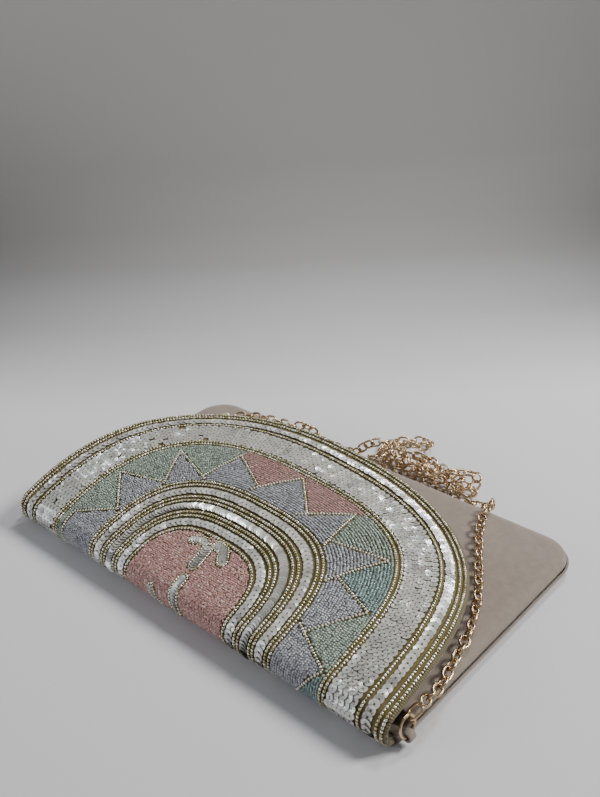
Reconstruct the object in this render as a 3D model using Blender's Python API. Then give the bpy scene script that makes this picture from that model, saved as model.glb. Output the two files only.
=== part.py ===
"""Beaded envelope clutch with a half-moon flap and a chain strap, lying on its back.

Metres, +Z up. The origin is on the table under the middle of the bag. +X runs along the
fold, +Y runs from the fold to the bag's far edge. The flap folds over the fold's roll and is
held shut by a magnetic snap.
"""
import math

import bmesh
import bpy
from mathutils import Vector, geometry

# Pouch
POUCH_WIDTH = 0.250
POUCH_DEPTH = 0.152
CORNER_RADIUS = 0.018
SEAM_HEIGHT = 0.0050
EDGE_ROUND = 0.0060
EDGE_HEIGHT = 0.0095
CLOTH = 0.0010
BOARD = 0.0010
LINING = 0.0005
INNER_INSET = 0.0080
MOUTH_REACH = 0.0170
CROWN_PLACE_SHARE = 0.69
MOUTH_CROWN_SHARE = 0.5
CROWN_LEAN_SHARE = 0.35
CROWN_POWER = 1.5

# Fold and flap, measured along the beaded face from the fold's nearest line
ROLL_RADIUS = 0.0090
ROLL_THICKNESS = 0.0028
FLAP_INSET = 0.0025
FLAP_SHORTFALL = 0.0080
ARCH_SHARE = 1.276
LIFT_ANGLE = math.radians(19.0)
END_ANGLE = math.radians(-6.0)
TWIST_SHARE = 0.101
DROOP = 0.0057
FOLD_ANGLES = tuple(math.radians(a) for a in (20.0, 60.0, 100.0, 140.0))

# Layers of the flap, as depths below the bead tops
BEAD_LAYER = 0.0011
BASE_CLOTH = 0.0004
FLAP_BOARD = 0.0012
FLAP_LINING = 0.0004
CORD_DIAMETER = 0.0019
RIM_OVERHANG = 0.0004
NARROWING_SHARE = 0.987
OUTLINE_POWER = 2.36
INNER_POWER = 2.80
POWER_CHANGE_WIDTH = 0.031

# Widths of the beaded bands along the fold, from the cord inwards, as shares of the flap's half width
BAND_SHARES = (
    ("gold_rows_outer", 0.0449),
    ("sequin_band_outer", 0.0531),
    ("gold_row_scalloped", 0.0163),
    ("sequin_band_wide", 0.1208),
    ("gold_rows_middle", 0.0294),
    ("zigzag_bead_band", 0.2122),
    ("gold_rows_inner", 0.0302),
    ("sequin_band_inner_1", 0.0424),
    ("gold_rows_inner_2", 0.0302),
    ("sequin_band_inner_2", 0.0376),
    ("gold_rows_inner_3", 0.0302),
    ("sequin_band_inner_3", 0.0392),
    ("gold_row_centre", 0.0147),
)

# Lines of the zigzag band and leaf lobes of the centre, raised over the fill beads.
# Places are shares of the flap's half width and of its reach
FILL_DEPTH = 0.0003
RAISED_DEPTH = 0.0008
LINE_WIDTH = 0.0010
LINE_TRIM = 0.0022
LINE_STEPS = 4
TIP_PLACES = (
    (-0.690, 0.097), (-0.678, 0.323), (-0.563, 0.538), (-0.331, 0.667), (-0.016, 0.708),
    (0.294, 0.677), (0.567, 0.545), (0.678, 0.323), (0.702, 0.083),
)
FOOT_PLACES = (
    (-0.510, 0.188), (-0.449, 0.361), (-0.322, 0.465), (-0.127, 0.524),
    (0.122, 0.521), (0.331, 0.462), (0.457, 0.344), (0.510, 0.174),
)
SHORT_LINE_STARTS = (0.04, 0.06, 0.1, 0.16, 0.2, 0.16, 0.2, 0.2)
WHOLE_FROM_FIRST_TIP = (False, False, True, False, False, True, True, False)
LOBES = (
    (((-0.102, 0.240), (-0.078, 0.245), (-0.056, 0.244)), 0.0017),
    (((-0.008, 0.156), (-0.012, 0.200), (-0.018, 0.236)), 0.0020),
    (((0.022, 0.246), (0.049, 0.240), (0.072, 0.215)), 0.0020),
    (((-0.008, 0.101), (-0.010, 0.088), (-0.010, 0.080)), 0.0020),
)
LOBE_STEPS = 8

# Magnetic snap
SNAP_INSET = 0.0275
STUD_RADIUS = 0.0065
STUD_THICKNESS = 0.0014
POST_RADIUS = 0.0022
POST_LENGTH = 0.0012
SOCKET_RADIUS = 0.0070
SOCKET_THICKNESS = 0.0022
POST_CLEARANCE = 0.0008
WASHER_RADIUS = 0.0060

# Rings, tabs and chain
RING_RADIUS = 0.0045
RING_WIRE = 0.0007
RING_REACH = 0.0110
RING_LEAN = math.radians(10.0)
TAB_WIDTH = 0.0036
TAB_THICKNESS = 0.0012
TAB_WALL = 0.0010
TAB_LENGTH = 0.0130
TAB_RISE = 0.0032
LOOP_OVERHANG = 0.0010
LINK_LENGTH = 0.0083
LINK_WIDTH = 0.0058
LINK_WIRE = 0.00065
LINK_HEADING = Vector((0.28, 0.80, 0.53)).normalized()
LINK_HOOK_ANGLE = math.radians(40.0)
CHAIN_DIAMETER = 0.0048
CHAIN_POINT_SPACING = 0.0115
HEAP_POINT_SPACING = 0.0032

# Chain runs on the front panel, as shares of half the width and of the depth
RIGHT_RUN_SHARES = (
    (0.998, 0.217), (0.978, 0.296), (0.941, 0.421), (0.873, 0.555), (0.795, 0.662),
    (0.715, 0.765), (0.642, 0.868), (0.605, 0.947),
)
LEFT_RUN_SHARES = (
    (-0.472, 0.968), (-0.560, 0.955), (-0.664, 0.931), (-0.752, 0.875), (-0.820, 0.783),
    (-0.876, 0.651), (-0.924, 0.500), (-0.968, 0.342), (-0.996, 0.224),
)

# Chain runs off the far edge: share of half the width, distance behind the edge, height
RIGHT_FALL = ((0.588, 0.0018, 0.0108), (0.568, 0.0052, 0.0062), (0.546, 0.0066, 0.0030))
LEFT_CLIMB = (
    (-0.348, 0.0054, 0.0027), (-0.380, 0.0052, 0.0042), (-0.402, 0.0036, 0.0080), (-0.420, 0.0012, 0.0116),
)

# Chain heap behind the far edge: runs on the table with an arm thrown out, cross loops over them,
# and one run on top. Places across, behind the far edge and above the lowest layer
HEAP_LAYER = 0.0056
HEAP_RUNS = (
    (0.0590, 0.0058, 0.0000), (0.0400, 0.0052, 0.0000), (0.0200, 0.0062, 0.0000), (0.0000, 0.0054, 0.0000),
    (-0.0080, 0.0056, 0.0000), (-0.0114, 0.0086, 0.0000), (-0.0080, 0.0116, 0.0000), (0.0060, 0.0116, 0.0000),
    (0.0260, 0.0122, 0.0000), (0.0440, 0.0114, 0.0000), (0.0520, 0.0116, 0.0000), (0.0552, 0.0146, 0.0000),
    (0.0518, 0.0174, 0.0000), (0.0400, 0.0170, 0.0000), (0.0220, 0.0182, 0.0000), (0.0040, 0.0174, 0.0000),
)
HEAP_ARM = (
    (-0.0060, 0.0180, 0.0000), (-0.0112, 0.0226, 0.0000), (-0.0106, 0.0296, 0.0000), (-0.0050, 0.0354, 0.0000),
    (0.0022, 0.0402, 0.0004), (0.0080, 0.0398, 0.0010), (0.0092, 0.0352, 0.0014), (0.0048, 0.0316, 0.0020),
    (-0.0010, 0.0270, 0.0034), (-0.0036, 0.0218, 0.0052),
)
HEAP_CROSS_START = -0.0030
HEAP_CROSS_STEP = 0.0062
HEAP_CROSS_RUNS = 9
HEAP_CROSS_NEAR = 0.0078
HEAP_CROSS_FAR = 0.0150
HEAP_CROSS_SWAY = 0.0010
HEAP_TOP = (
    (0.0504, 0.0056, 0.0060), (0.0554, 0.0066, 0.0072), (0.0582, 0.0104, 0.0090), (0.0556, 0.0142, 0.0108),
    (0.0500, 0.0134, 0.0112), (0.0440, 0.0096, 0.0112), (0.0350, 0.0096, 0.0112),
    (0.0260, 0.0132, 0.0112), (0.0140, 0.0094, 0.0112), (0.0020, 0.0122, 0.0112), (-0.0070, 0.0100, 0.0108),
    (-0.0134, 0.0080, 0.0074), (-0.0178, 0.0062, 0.0034), (-0.0216, 0.0054, 0.0008), (-0.0246, 0.0052, 0.0004),
    (-0.0270, 0.0052, 0.0004),
)

GAP = 0.0003
SEAT_GAP = 0.0003
SOCKET_TILT_ROOM = 0.0005
TABLE_GAP = 0.0001
CHAIN_REST_GAP = 0.0009
CUT_OVERRUN = 0.0030

SIDE_RUNUP = MOUTH_REACH - ROLL_RADIUS
POUCH_HALF = POUCH_WIDTH / 2
FLAP_HALF = POUCH_HALF - FLAP_INSET
FLAP_REACH = POUCH_DEPTH - FLAP_SHORTFALL
SNAP_REACH = FLAP_REACH - SNAP_INSET
ARCH_RADIUS = POUCH_DEPTH * ARCH_SHARE
NARROWING = NARROWING_SHARE * FLAP_REACH / FLAP_HALF
FOLD_Y = -POUCH_DEPTH / 2
ARCH_ANGLE = LIFT_ANGLE - END_ANGLE
LIFT_REACH = ROLL_RADIUS * (math.pi / 2 - LIFT_ANGLE)
FLAP_START = ROLL_RADIUS * (FOLD_ANGLES[-1] - math.pi / 2)
CLOTH_DEPTH = BEAD_LAYER + GAP
BOARD_DEPTH = CLOTH_DEPTH + BASE_CLOTH + GAP
LINING_DEPTH = BOARD_DEPTH + FLAP_BOARD + GAP
FLAP_THICKNESS = LINING_DEPTH + FLAP_LINING


def clear_scene():
    """Removes every object that the file opened with."""
    for obj in list(bpy.data.objects):
        bpy.data.objects.remove(obj, do_unlink=True)


def finish(obj, colour, roughness, metallic=0.0):
    """Gives an object its own material and smooth shading with sharp edges kept."""
    material = bpy.data.materials.new(obj.name)
    material.use_nodes = True
    shader = material.node_tree.nodes["Principled BSDF"]
    shader.inputs["Base Color"].default_value = (*colour, 1.0)
    shader.inputs["Roughness"].default_value = roughness
    shader.inputs["Metallic"].default_value = metallic
    obj.data.materials.append(material)
    if obj.type == "MESH":
        obj.data.shade_smooth()
        obj.data.set_sharp_from_angle(angle=math.radians(35.0))
    return obj


def object_from_bmesh(name, bm):
    """Turns a bmesh into a linked object with its faces pointing out."""
    bmesh.ops.recalc_face_normals(bm, faces=bm.faces)
    mesh = bpy.data.meshes.new(name)
    bm.to_mesh(mesh)
    bm.free()
    obj = bpy.data.objects.new(name, mesh)
    bpy.context.scene.collection.objects.link(obj)
    return obj


def add_shell(bm, outer, inner):
    """Adds a closed sheet of triangles between two grids of points of the same size."""
    rows, cols = len(outer), len(outer[0])
    sides = [[[bm.verts.new(p) for p in row] for row in grid] for grid in (outer, inner)]
    for grid, turned in zip(sides, (False, True)):
        for i in range(rows - 1):
            for j in range(cols - 1):
                first, second = grid[i][j], grid[i][j + 1]
                third, fourth = grid[i + 1][j + 1], grid[i + 1][j]
                for triangle in ((first, second, third), (first, third, fourth)):
                    bm.faces.new(triangle[::-1] if turned else triangle)
    rim = [(0, j) for j in range(cols)] + [(i, cols - 1) for i in range(1, rows)]
    rim += [(rows - 1, j) for j in range(cols - 2, -1, -1)] + [(i, 0) for i in range(rows - 2, 0, -1)]
    for (i0, j0), (i1, j1) in zip(rim, rim[1:] + rim[:1]):
        top, next_top = sides[0][i0][j0], sides[0][i1][j1]
        bottom, next_bottom = sides[1][i0][j0], sides[1][i1][j1]
        bm.faces.new((next_top, top, bottom))
        bm.faces.new((next_top, bottom, next_bottom))


def shell(name, outer, inner):
    """Builds one closed sheet between two grids of points."""
    bm = bmesh.new()
    add_shell(bm, outer, inner)
    return object_from_bmesh(name, bm)


def cut(obj, cutter):
    """Subtracts a cutter, which stays in the file as a hidden wire guide."""
    cutter.hide_render = True
    cutter.display_type = "WIRE"
    modifier = obj.modifiers.new("cut", "BOOLEAN")
    modifier.operation = "DIFFERENCE"
    modifier.solver = "EXACT"
    modifier.object = cutter
    return obj


def cylinder(name, radius, start, end, segments=24):
    """Builds a solid cylinder from one point to another."""
    axis = end - start
    bm = bmesh.new()
    bmesh.ops.create_cone(
        bm, cap_ends=True, segments=segments, radius1=radius, radius2=radius, depth=axis.length)
    turn = axis.to_track_quat("Z", "Y").to_matrix().to_4x4()
    bmesh.ops.transform(bm, matrix=turn, verts=bm.verts)
    bmesh.ops.translate(bm, vec=(start + end) / 2, verts=bm.verts)
    return object_from_bmesh(name, bm)


def smooth_step(value):
    """Eases from 0 to 1 as the value goes from 0 to 1."""
    value = min(max(value, 0.0), 1.0)
    return value * value * (3.0 - 2.0 * value)


def edge_round(distance, radius):
    """Rises from 0 at the seam to 1 where the panel is flat, as a quarter circle."""
    if distance >= radius:
        return 1.0
    return math.sqrt(max(0.0, 1.0 - (1.0 - max(distance, 0.0) / radius) ** 2))


def seam_height(reach):
    """Height of the side seam, which rises from the fold's end to the full height."""
    return SEAM_HEIGHT * smooth_step((reach - ROLL_RADIUS) / SIDE_RUNUP)


def side_half_width(reach):
    """Half width of the pouch at a reach, narrower where it meets the fold."""
    spread = smooth_step((reach - ROLL_RADIUS) / SIDE_RUNUP)
    return FLAP_HALF + (POUCH_HALF - FLAP_HALF) * spread


def panel_rows(start, inset, reaches):
    """Lists (reach, half width) pairs from the start to the far edge round the corners."""
    radius = CORNER_RADIUS - inset
    body_end = POUCH_DEPTH - CORNER_RADIUS
    rows = [(reach, side_half_width(reach) - inset) for reach in [start] + list(reaches) + [body_end]]
    corner_steps = 5
    for i in range(1, corner_steps + 1):
        angle = math.pi / 2 * i / corner_steps
        half = POUCH_HALF - CORNER_RADIUS + radius * math.cos(angle)
        rows.append((body_end + radius * math.sin(angle), half))
    return rows


def seam_distance(x, reach, inset):
    """Distance from a point to the pouch's side and far seam, less the inset."""
    half = side_half_width(reach) - CORNER_RADIUS
    far = POUCH_DEPTH - CORNER_RADIUS
    out_x = max(abs(x) - half, 0.0)
    out_y = max(reach - far, 0.0)
    if out_x > 0.0 and out_y > 0.0:
        return CORNER_RADIUS - inset - math.hypot(out_x, out_y)
    return CORNER_RADIUS - inset - max(out_x, out_y)


def panel_columns(half, edge_steps, middle_shares):
    """Lists x places across a row, close together at the rounded edges."""
    inner = half - EDGE_ROUND
    edge = [inner + EDGE_ROUND * math.sin(math.pi / 2 * i / edge_steps) for i in range(edge_steps + 1)]
    middle = [inner * share for share in middle_shares]
    right = middle + edge
    return [-x for x in reversed(right)] + ([0.0] if middle_shares[0] > 0.0 else []) + right


def crown_share(x, reach):
    """Share of the full crown that the front panel has at a point."""
    side = x / POUCH_HALF
    across = (1.0 - min(side ** 2, 1.0)) ** CROWN_POWER * (1.0 - CROWN_LEAN_SHARE * side)
    peak = POUCH_DEPTH * CROWN_PLACE_SHARE
    if reach < peak:
        ease = math.sin(math.pi / 2 * (reach - MOUTH_REACH) / (peak - MOUTH_REACH)) ** 2
        return across * (MOUTH_CROWN_SHARE + (1.0 - MOUTH_CROWN_SHARE) * ease)
    return across * math.cos(math.pi / 2 * (reach - peak) / (POUCH_DEPTH - peak)) ** 2


def profile(reach, depth):
    """Point of the flap's side view at a reach and depth, with the slope there."""
    if reach <= LIFT_REACH:
        slope = math.pi / 2 - reach / ROLL_RADIUS
        y = ROLL_RADIUS * (1.0 - math.sin(slope))
        z = ROLL_RADIUS * (1.0 + math.cos(slope))
    else:
        run = reach - LIFT_REACH
        on_arch = min(run, ARCH_RADIUS * ARCH_ANGLE)
        straight = run - on_arch
        slope = LIFT_ANGLE - on_arch / ARCH_RADIUS
        y = ROLL_RADIUS * (1.0 - math.sin(LIFT_ANGLE))
        z = ROLL_RADIUS * (1.0 + math.cos(LIFT_ANGLE))
        y += ARCH_RADIUS * (math.sin(LIFT_ANGLE) - math.sin(slope)) + straight * math.cos(slope)
        z += ARCH_RADIUS * (math.cos(slope) - math.cos(LIFT_ANGLE)) + straight * math.sin(slope)
    return y + depth * math.sin(slope), z - depth * math.cos(slope), slope


def flap_point(x, reach, depth):
    """Point of the flap at a place across, a reach and a depth below the bead tops."""
    y, z, slope = profile(reach, depth)
    run = max(reach - LIFT_REACH, 0.0)
    side = x / POUCH_HALF
    fall = TWIST_SHARE * side * run + DROOP * side ** 2 * run / FLAP_REACH
    return Vector((x, FOLD_Y + y, z - fall))


def snap_frame():
    """Centre of the snap on the bead tops and the flap's outward normal there."""
    centre = flap_point(0.0, SNAP_REACH, 0.0)
    across = flap_point(STUD_RADIUS, SNAP_REACH, 0.0) - flap_point(-STUD_RADIUS, SNAP_REACH, 0.0)
    along = flap_point(0.0, SNAP_REACH + STUD_RADIUS, 0.0) - flap_point(0.0, SNAP_REACH - STUD_RADIUS, 0.0)
    return centre, across.cross(along).normalized()


def snap_base_depth():
    """Depth of the snap socket's seat below the bead tops."""
    return FLAP_THICKNESS + STUD_THICKNESS + SOCKET_THICKNESS + 2 * SEAT_GAP


def snap_seat():
    """Place on the front panel where the snap socket sits."""
    centre, normal = snap_frame()
    return centre - normal * (snap_base_depth() + SEAT_GAP + SOCKET_TILT_ROOM)


def front_crown():
    """Full crown of the front panel, which carries the snap socket's seat."""
    seat = snap_seat()
    share = crown_share(0.0, seat.y - FOLD_Y)
    return (seat.z - EDGE_HEIGHT) / share


def front_height(x, reach, inset, crown):
    """Height of the front panel's outer face, or of a face inset from it."""
    rise = edge_round(seam_distance(x, reach, inset), EDGE_ROUND - inset)
    seam = seam_height(reach) + GAP
    top = EDGE_HEIGHT - inset + crown * crown_share(x, reach)
    return seam + (top - seam) * rise


def back_height(x, reach, inset):
    """Height of the back panel's outer face, or of a face inset from it."""
    rise = edge_round(seam_distance(x, reach, inset), EDGE_ROUND - inset)
    return inset + max(seam_height(reach) - inset, 0.0) * (1.0 - rise)


def crowned_reaches():
    """Reaches of the rows between the mouth and the corners, close together at the snap."""
    seat = snap_seat().y - FOLD_Y
    side = SOCKET_RADIUS
    before = seat - side - MOUTH_REACH
    shares = (0.33, 0.67)
    return [MOUTH_REACH + before * share for share in shares] + [seat - side, seat, seat + side]


def front_normal(reach, crown):
    """Normal of the front panel's outer face in the middle of the bag."""
    step = WASHER_RADIUS
    across = crown * (crown_share(step, reach) - crown_share(-step, reach)) / (2 * step)
    along = crown * (crown_share(0.0, reach + step) - crown_share(0.0, reach - step)) / (2 * step)
    return Vector((-across, -along, 1.0)).normalized()


def build_front_panel(crown):
    """Front panel of the pouch, whose sides turn down to the seam."""
    middle_shares = (0.3, 0.56, 0.78, 0.92)
    reaches = [MOUTH_REACH + EDGE_ROUND] + crowned_reaches()
    grids = []
    for inset in (0.0, CLOTH):
        grid = []
        for reach, half in panel_rows(MOUTH_REACH, inset, reaches):
            xs = panel_columns(half, 4, middle_shares)
            grid.append([Vector((x, FOLD_Y + reach, front_height(x, reach, inset, crown))) for x in xs])
        grids.append(grid)
    return finish(shell("front_panel", *grids), (0.37, 0.33, 0.30), 0.85)


def build_back_panel():
    """Back panel of the pouch, with the start of the fold's roll."""
    middle_shares = (0.5,)
    runup_shares = (0.4, 0.7, 1.0)
    reaches = [ROLL_RADIUS + SIDE_RUNUP * share for share in runup_shares] + [POUCH_DEPTH / 2]
    grids = []
    for inset in (0.0, CLOTH):
        grid = []
        roll_steps = 2
        for i in range(roll_steps):
            angle = (FOLD_ANGLES[0] - GAP / 2 / ROLL_RADIUS) * (roll_steps - i) / roll_steps
            radius = ROLL_RADIUS - inset
            y = FOLD_Y + ROLL_RADIUS - radius * math.sin(angle)
            z = ROLL_RADIUS - radius * math.cos(angle)
            grid.append([Vector((x, y, z)) for x in panel_columns(FLAP_HALF, 4, middle_shares)])
        for reach, half in panel_rows(ROLL_RADIUS, inset, reaches):
            xs = panel_columns(half, 4, middle_shares)
            grid.append([Vector((x, FOLD_Y + reach, back_height(x, reach, inset))) for x in xs])
        grids.append(grid)
    return finish(shell("back_panel", *grids), (0.36, 0.32, 0.29), 0.85)


def flat_plate(name, bottom, thickness, inset):
    """Flat sheet inside the back panel, with the pouch's rounded far corners."""
    rows = panel_rows(MOUTH_REACH, inset, ())
    grids = []
    for z in (bottom + thickness, bottom):
        grids.append([[Vector((x, FOLD_Y + reach, z)) for x in (-half, half)] for reach, half in rows])
    return shell(name, *grids)


def crowned_plate(name, depth, thickness, inset, crown):
    """Sheet that follows the front panel's crown at a depth below its outer face."""
    column_shares = (-1.0, -0.8, -0.56, -0.3, 0.0, 0.3, 0.56, 0.8, 1.0)
    grids = []
    for drop in (depth, depth + thickness):
        grid = []
        for reach, half in panel_rows(MOUTH_REACH, inset, crowned_reaches()):
            row = []
            for share in column_shares:
                x = half * share
                z = EDGE_HEIGHT + crown * crown_share(x, reach) - drop
                row.append(Vector((x, FOLD_Y + reach, z)))
            grid.append(row)
        grids.append(grid)
    return shell(name, *grids)


def build_pouch_inside(crown):
    """Stiffening boards and the lining's two faces."""
    back_board = flat_plate("back_board", CLOTH + GAP, BOARD, INNER_INSET)
    finish(back_board, (0.55, 0.5, 0.42), 0.9)
    back_lining = flat_plate("back_lining", CLOTH + BOARD + 2 * GAP, LINING, INNER_INSET)
    finish(back_lining, (0.42, 0.38, 0.34), 0.8)
    front_board = crowned_plate("front_board", CLOTH + GAP, BOARD, INNER_INSET, crown)
    finish(front_board, (0.55, 0.5, 0.42), 0.9)
    depth = CLOTH + BOARD + 2 * GAP
    front_lining = crowned_plate("front_lining", depth, LINING, INNER_INSET, crown)
    finish(front_lining, (0.42, 0.38, 0.34), 0.8)
    return front_board


def build_fold_strips():
    """Three beaded strips that make the soft fold between the pouch and the flap."""
    steps = 5
    half_gap = GAP / 2 / ROLL_RADIUS
    for number, (low, high) in enumerate(zip(FOLD_ANGLES, FOLD_ANGLES[1:]), start=1):
        grids = []
        for radius in (ROLL_RADIUS, ROLL_RADIUS - ROLL_THICKNESS):
            grid = []
            for i in range(steps + 1):
                angle = low + half_gap + (high - low - 2 * half_gap) * i / steps
                y = FOLD_Y + ROLL_RADIUS - radius * math.sin(angle)
                z = ROLL_RADIUS - radius * math.cos(angle)
                grid.append([Vector((x, y, z)) for x in (-FLAP_HALF, 0.0, FLAP_HALF)])
            grids.append(grid)
        strip = shell("fold_strip_%d" % number, *grids)
        finish(strip, (0.50, 0.46, 0.36), 0.45)


def outline(inward):
    """Half width, reach and power of the outline a distance in from the flap's rim."""
    half = FLAP_HALF - inward
    reach = FLAP_REACH - inward * NARROWING
    change = min(inward / POWER_CHANGE_WIDTH, 1.0)
    return half, reach, OUTLINE_POWER + (INNER_POWER - OUTLINE_POWER) * change


def outline_point(inward, angle, start):
    """Place (x, reach) on an outline at an angle from its right end."""
    half, reach, power = outline(inward)
    cos_part, sin_part = math.cos(angle), max(math.sin(angle), 0.0)
    x = math.copysign(abs(cos_part) ** (2.0 / power), cos_part) * half
    return x, start + (reach - start) * sin_part ** (2.0 / power)


def band_angles(steps):
    """Angles along an outline, closer together at its two ends."""
    ease_share = 0.75
    turns = [i / steps for i in range(steps + 1)]
    return [math.pi * (t - ease_share * math.sin(2 * math.pi * t) / (2 * math.pi)) for t in turns]


def band_shell(name, inward, width, depth, thickness, steps=36):
    """Strip that follows the outline between two distances in from the rim."""
    across = max(1, round(width / (2 * ROLL_RADIUS / 3)))
    start = FLAP_START + GAP / 2
    grids = []
    for level in (depth, depth + thickness):
        grid = []
        for angle in band_angles(steps):
            row = []
            for j in range(across + 1):
                x, reach = outline_point(inward + width * j / across, angle, start)
                row.append(flap_point(x, reach, level))
            grid.append(row)
        grids.append(grid)
    return shell(name, *grids)


def half_moon_shell(name, inward, depth, thickness, rows, cols):
    """Half-moon sheet of the flap inside one outline."""
    half, reach, power = outline(inward)
    start = FLAP_START + GAP / 2
    grids = []
    for level in (depth, depth + thickness):
        grid = []
        for i in range(rows + 1):
            v = (i / rows) ** 1.3
            row = []
            for j in range(cols + 1):
                u = 2.0 * j / cols - 1.0
                norm = (abs(u) ** power + v ** power) ** (1.0 / power)
                scale = max(abs(u), v) / norm if norm > 0.0 else 1.0
                place = start + (reach - start) * v * scale
                row.append(flap_point(half * u * scale, place, level))
            grid.append(row)
        grids.append(grid)
    return shell(name, *grids)


def build_flap_layers():
    """Base cloth, board and lining of the flap."""
    inset = CORD_DIAMETER + GAP
    cloth = half_moon_shell("flap_base_cloth", inset, CLOTH_DEPTH, BASE_CLOTH, 9, 16)
    finish(cloth, (0.33, 0.28, 0.12), 0.9)
    board = half_moon_shell("flap_board", inset, BOARD_DEPTH, FLAP_BOARD, 9, 16)
    finish(board, (0.55, 0.5, 0.42), 0.9)
    lining = half_moon_shell("flap_lining", inset, LINING_DEPTH, FLAP_LINING, 9, 16)
    finish(lining, (0.37, 0.33, 0.30), 0.85)
    return board


def tube(name, points, diameter, resolution):
    """Round tube through a list of points, with filled ends."""
    curve = bpy.data.curves.new(name, "CURVE")
    curve.dimensions = "3D"
    curve.bevel_depth = diameter / 2
    curve.bevel_resolution = resolution
    curve.use_fill_caps = True
    spline = curve.splines.new("POLY")
    spline.points.add(len(points) - 1)
    for slot, point in zip(spline.points, points):
        slot.co = (*point, 1.0)
    obj = bpy.data.objects.new(name, curve)
    bpy.context.scene.collection.objects.link(obj)
    return obj


def build_edge_cord():
    """Thread-wrapped cord round the flap's rim."""
    radius = CORD_DIAMETER / 2
    depth = (BEAD_LAYER + LINING_DEPTH) / 2
    start = FLAP_START + GAP / 2
    places = [outline_point(radius, angle, start) for angle in band_angles(40)]
    points = [flap_point(x, reach, depth) for x, reach in places]
    return finish(tube("edge_cord", points, CORD_DIAMETER, 2), (0.33, 0.28, 0.10), 0.5)


def between(first, second, share):
    """Place a share of the way between two places of the flap's face."""
    return first[0] + (second[0] - first[0]) * share, first[1] + (second[1] - first[1]) * share


def face_places(shares):
    """Turns shares of the flap's size into places (x, reach)."""
    return [(FLAP_HALF * across, FLAP_REACH * along) for across, along in shares]


def zigzag_lines():
    """Both ends of each line between the triangles, kept clear of the next ones."""
    tips, feet = face_places(TIP_PLACES), face_places(FOOT_PLACES)
    lines = []
    for i, foot in enumerate(feet):
        whole, short = (tips[i], tips[i + 1]) if WHOLE_FROM_FIRST_TIP[i] else (tips[i + 1], tips[i])
        apex = between(foot, whole, SHORT_LINE_STARTS[i])
        for start, end in ((foot, whole), (apex, short)):
            trim = LINE_TRIM / math.dist(start, end)
            lines.append((between(start, end, trim), between(start, end, 1.0 - trim)))
    return lines


def ribbon(spine, halves):
    """Two grids of a raised strip of varying half width along places of the flap's face."""
    grids = []
    for depth in (0.0, RAISED_DEPTH):
        grid = []
        for i, (x, reach) in enumerate(spine):
            before, after = spine[max(i - 1, 0)], spine[min(i + 1, len(spine) - 1)]
            length = math.dist(before, after)
            side = ((before[1] - after[1]) / length, (after[0] - before[0]) / length)
            half = halves[i]
            over, along = side[0] * half, side[1] * half
            grid.append([flap_point(x + over, reach + along, depth), flap_point(x - over, reach - along, depth)])
        grids.append(grid)
    return grids


def lobe_ribbon(spine, half):
    """Grids of one leaf lobe with rounded ends."""
    lengths = [math.dist(a, b) for a, b in zip(spine, spine[1:])]
    total = sum(lengths)
    places, halves = [], []
    for i in range(LOBE_STEPS + 1):
        along = (total + 2 * half) * (0.5 - 0.5 * math.cos(math.pi * i / LOBE_STEPS)) - half
        inside = min(max(along, 0.0), total)
        number = 0 if inside <= lengths[0] else 1
        share = (inside - sum(lengths[:number])) / lengths[number]
        share += (along - inside) / lengths[number]
        places.append(between(spine[number], spine[number + 1], share))
        out = abs(along - inside) / half
        halves.append(half * max(math.sqrt(max(1.0 - out ** 2, 0.0)), 0.3))
    return ribbon(places, halves)


def raise_on(obj, name, ribbons):
    """Joins raised strips to a band's skin."""
    bm = bmesh.new()
    for grids in ribbons:
        add_shell(bm, *grids)
    guide = object_from_bmesh(name, bm)
    guide.hide_render = True
    guide.display_type = "WIRE"
    modifier = obj.modifiers.new("raise", "BOOLEAN")
    modifier.operation = "UNION"
    modifier.solver = "EXACT"
    modifier.object = guide


def build_bands():
    """Beaded bands from the rim to the centre field."""
    colours = {"gold": (0.55, 0.48, 0.28), "sequin": (0.62, 0.62, 0.60), "zigzag": (0.33, 0.38, 0.38)}
    inward = RIM_OVERHANG
    for name, share in BAND_SHARES:
        width = FLAP_HALF * share
        depth = FILL_DEPTH if name == "zigzag_bead_band" else 0.0
        band = band_shell(name, inward, width, depth, BEAD_LAYER - depth)
        finish(band, colours[name.split("_")[0]], 0.35)
        if name == "zigzag_bead_band":
            lines = [[between(a, b, i / LINE_STEPS) for i in range(LINE_STEPS + 1)] for a, b in zigzag_lines()]
            halves = [LINE_WIDTH / 2] * (LINE_STEPS + 1)
            raise_on(band, "zigzag_lines_guide", [ribbon(line, halves) for line in lines])
        inward += width + GAP
    field = half_moon_shell("centre_bead_field", inward, FILL_DEPTH, BEAD_LAYER - FILL_DEPTH, 5, 8)
    finish(field, (0.45, 0.26, 0.25), 0.45)
    raise_on(field, "lobes_guide", [lobe_ribbon(face_places(spine), half) for spine, half in LOBES])


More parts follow.
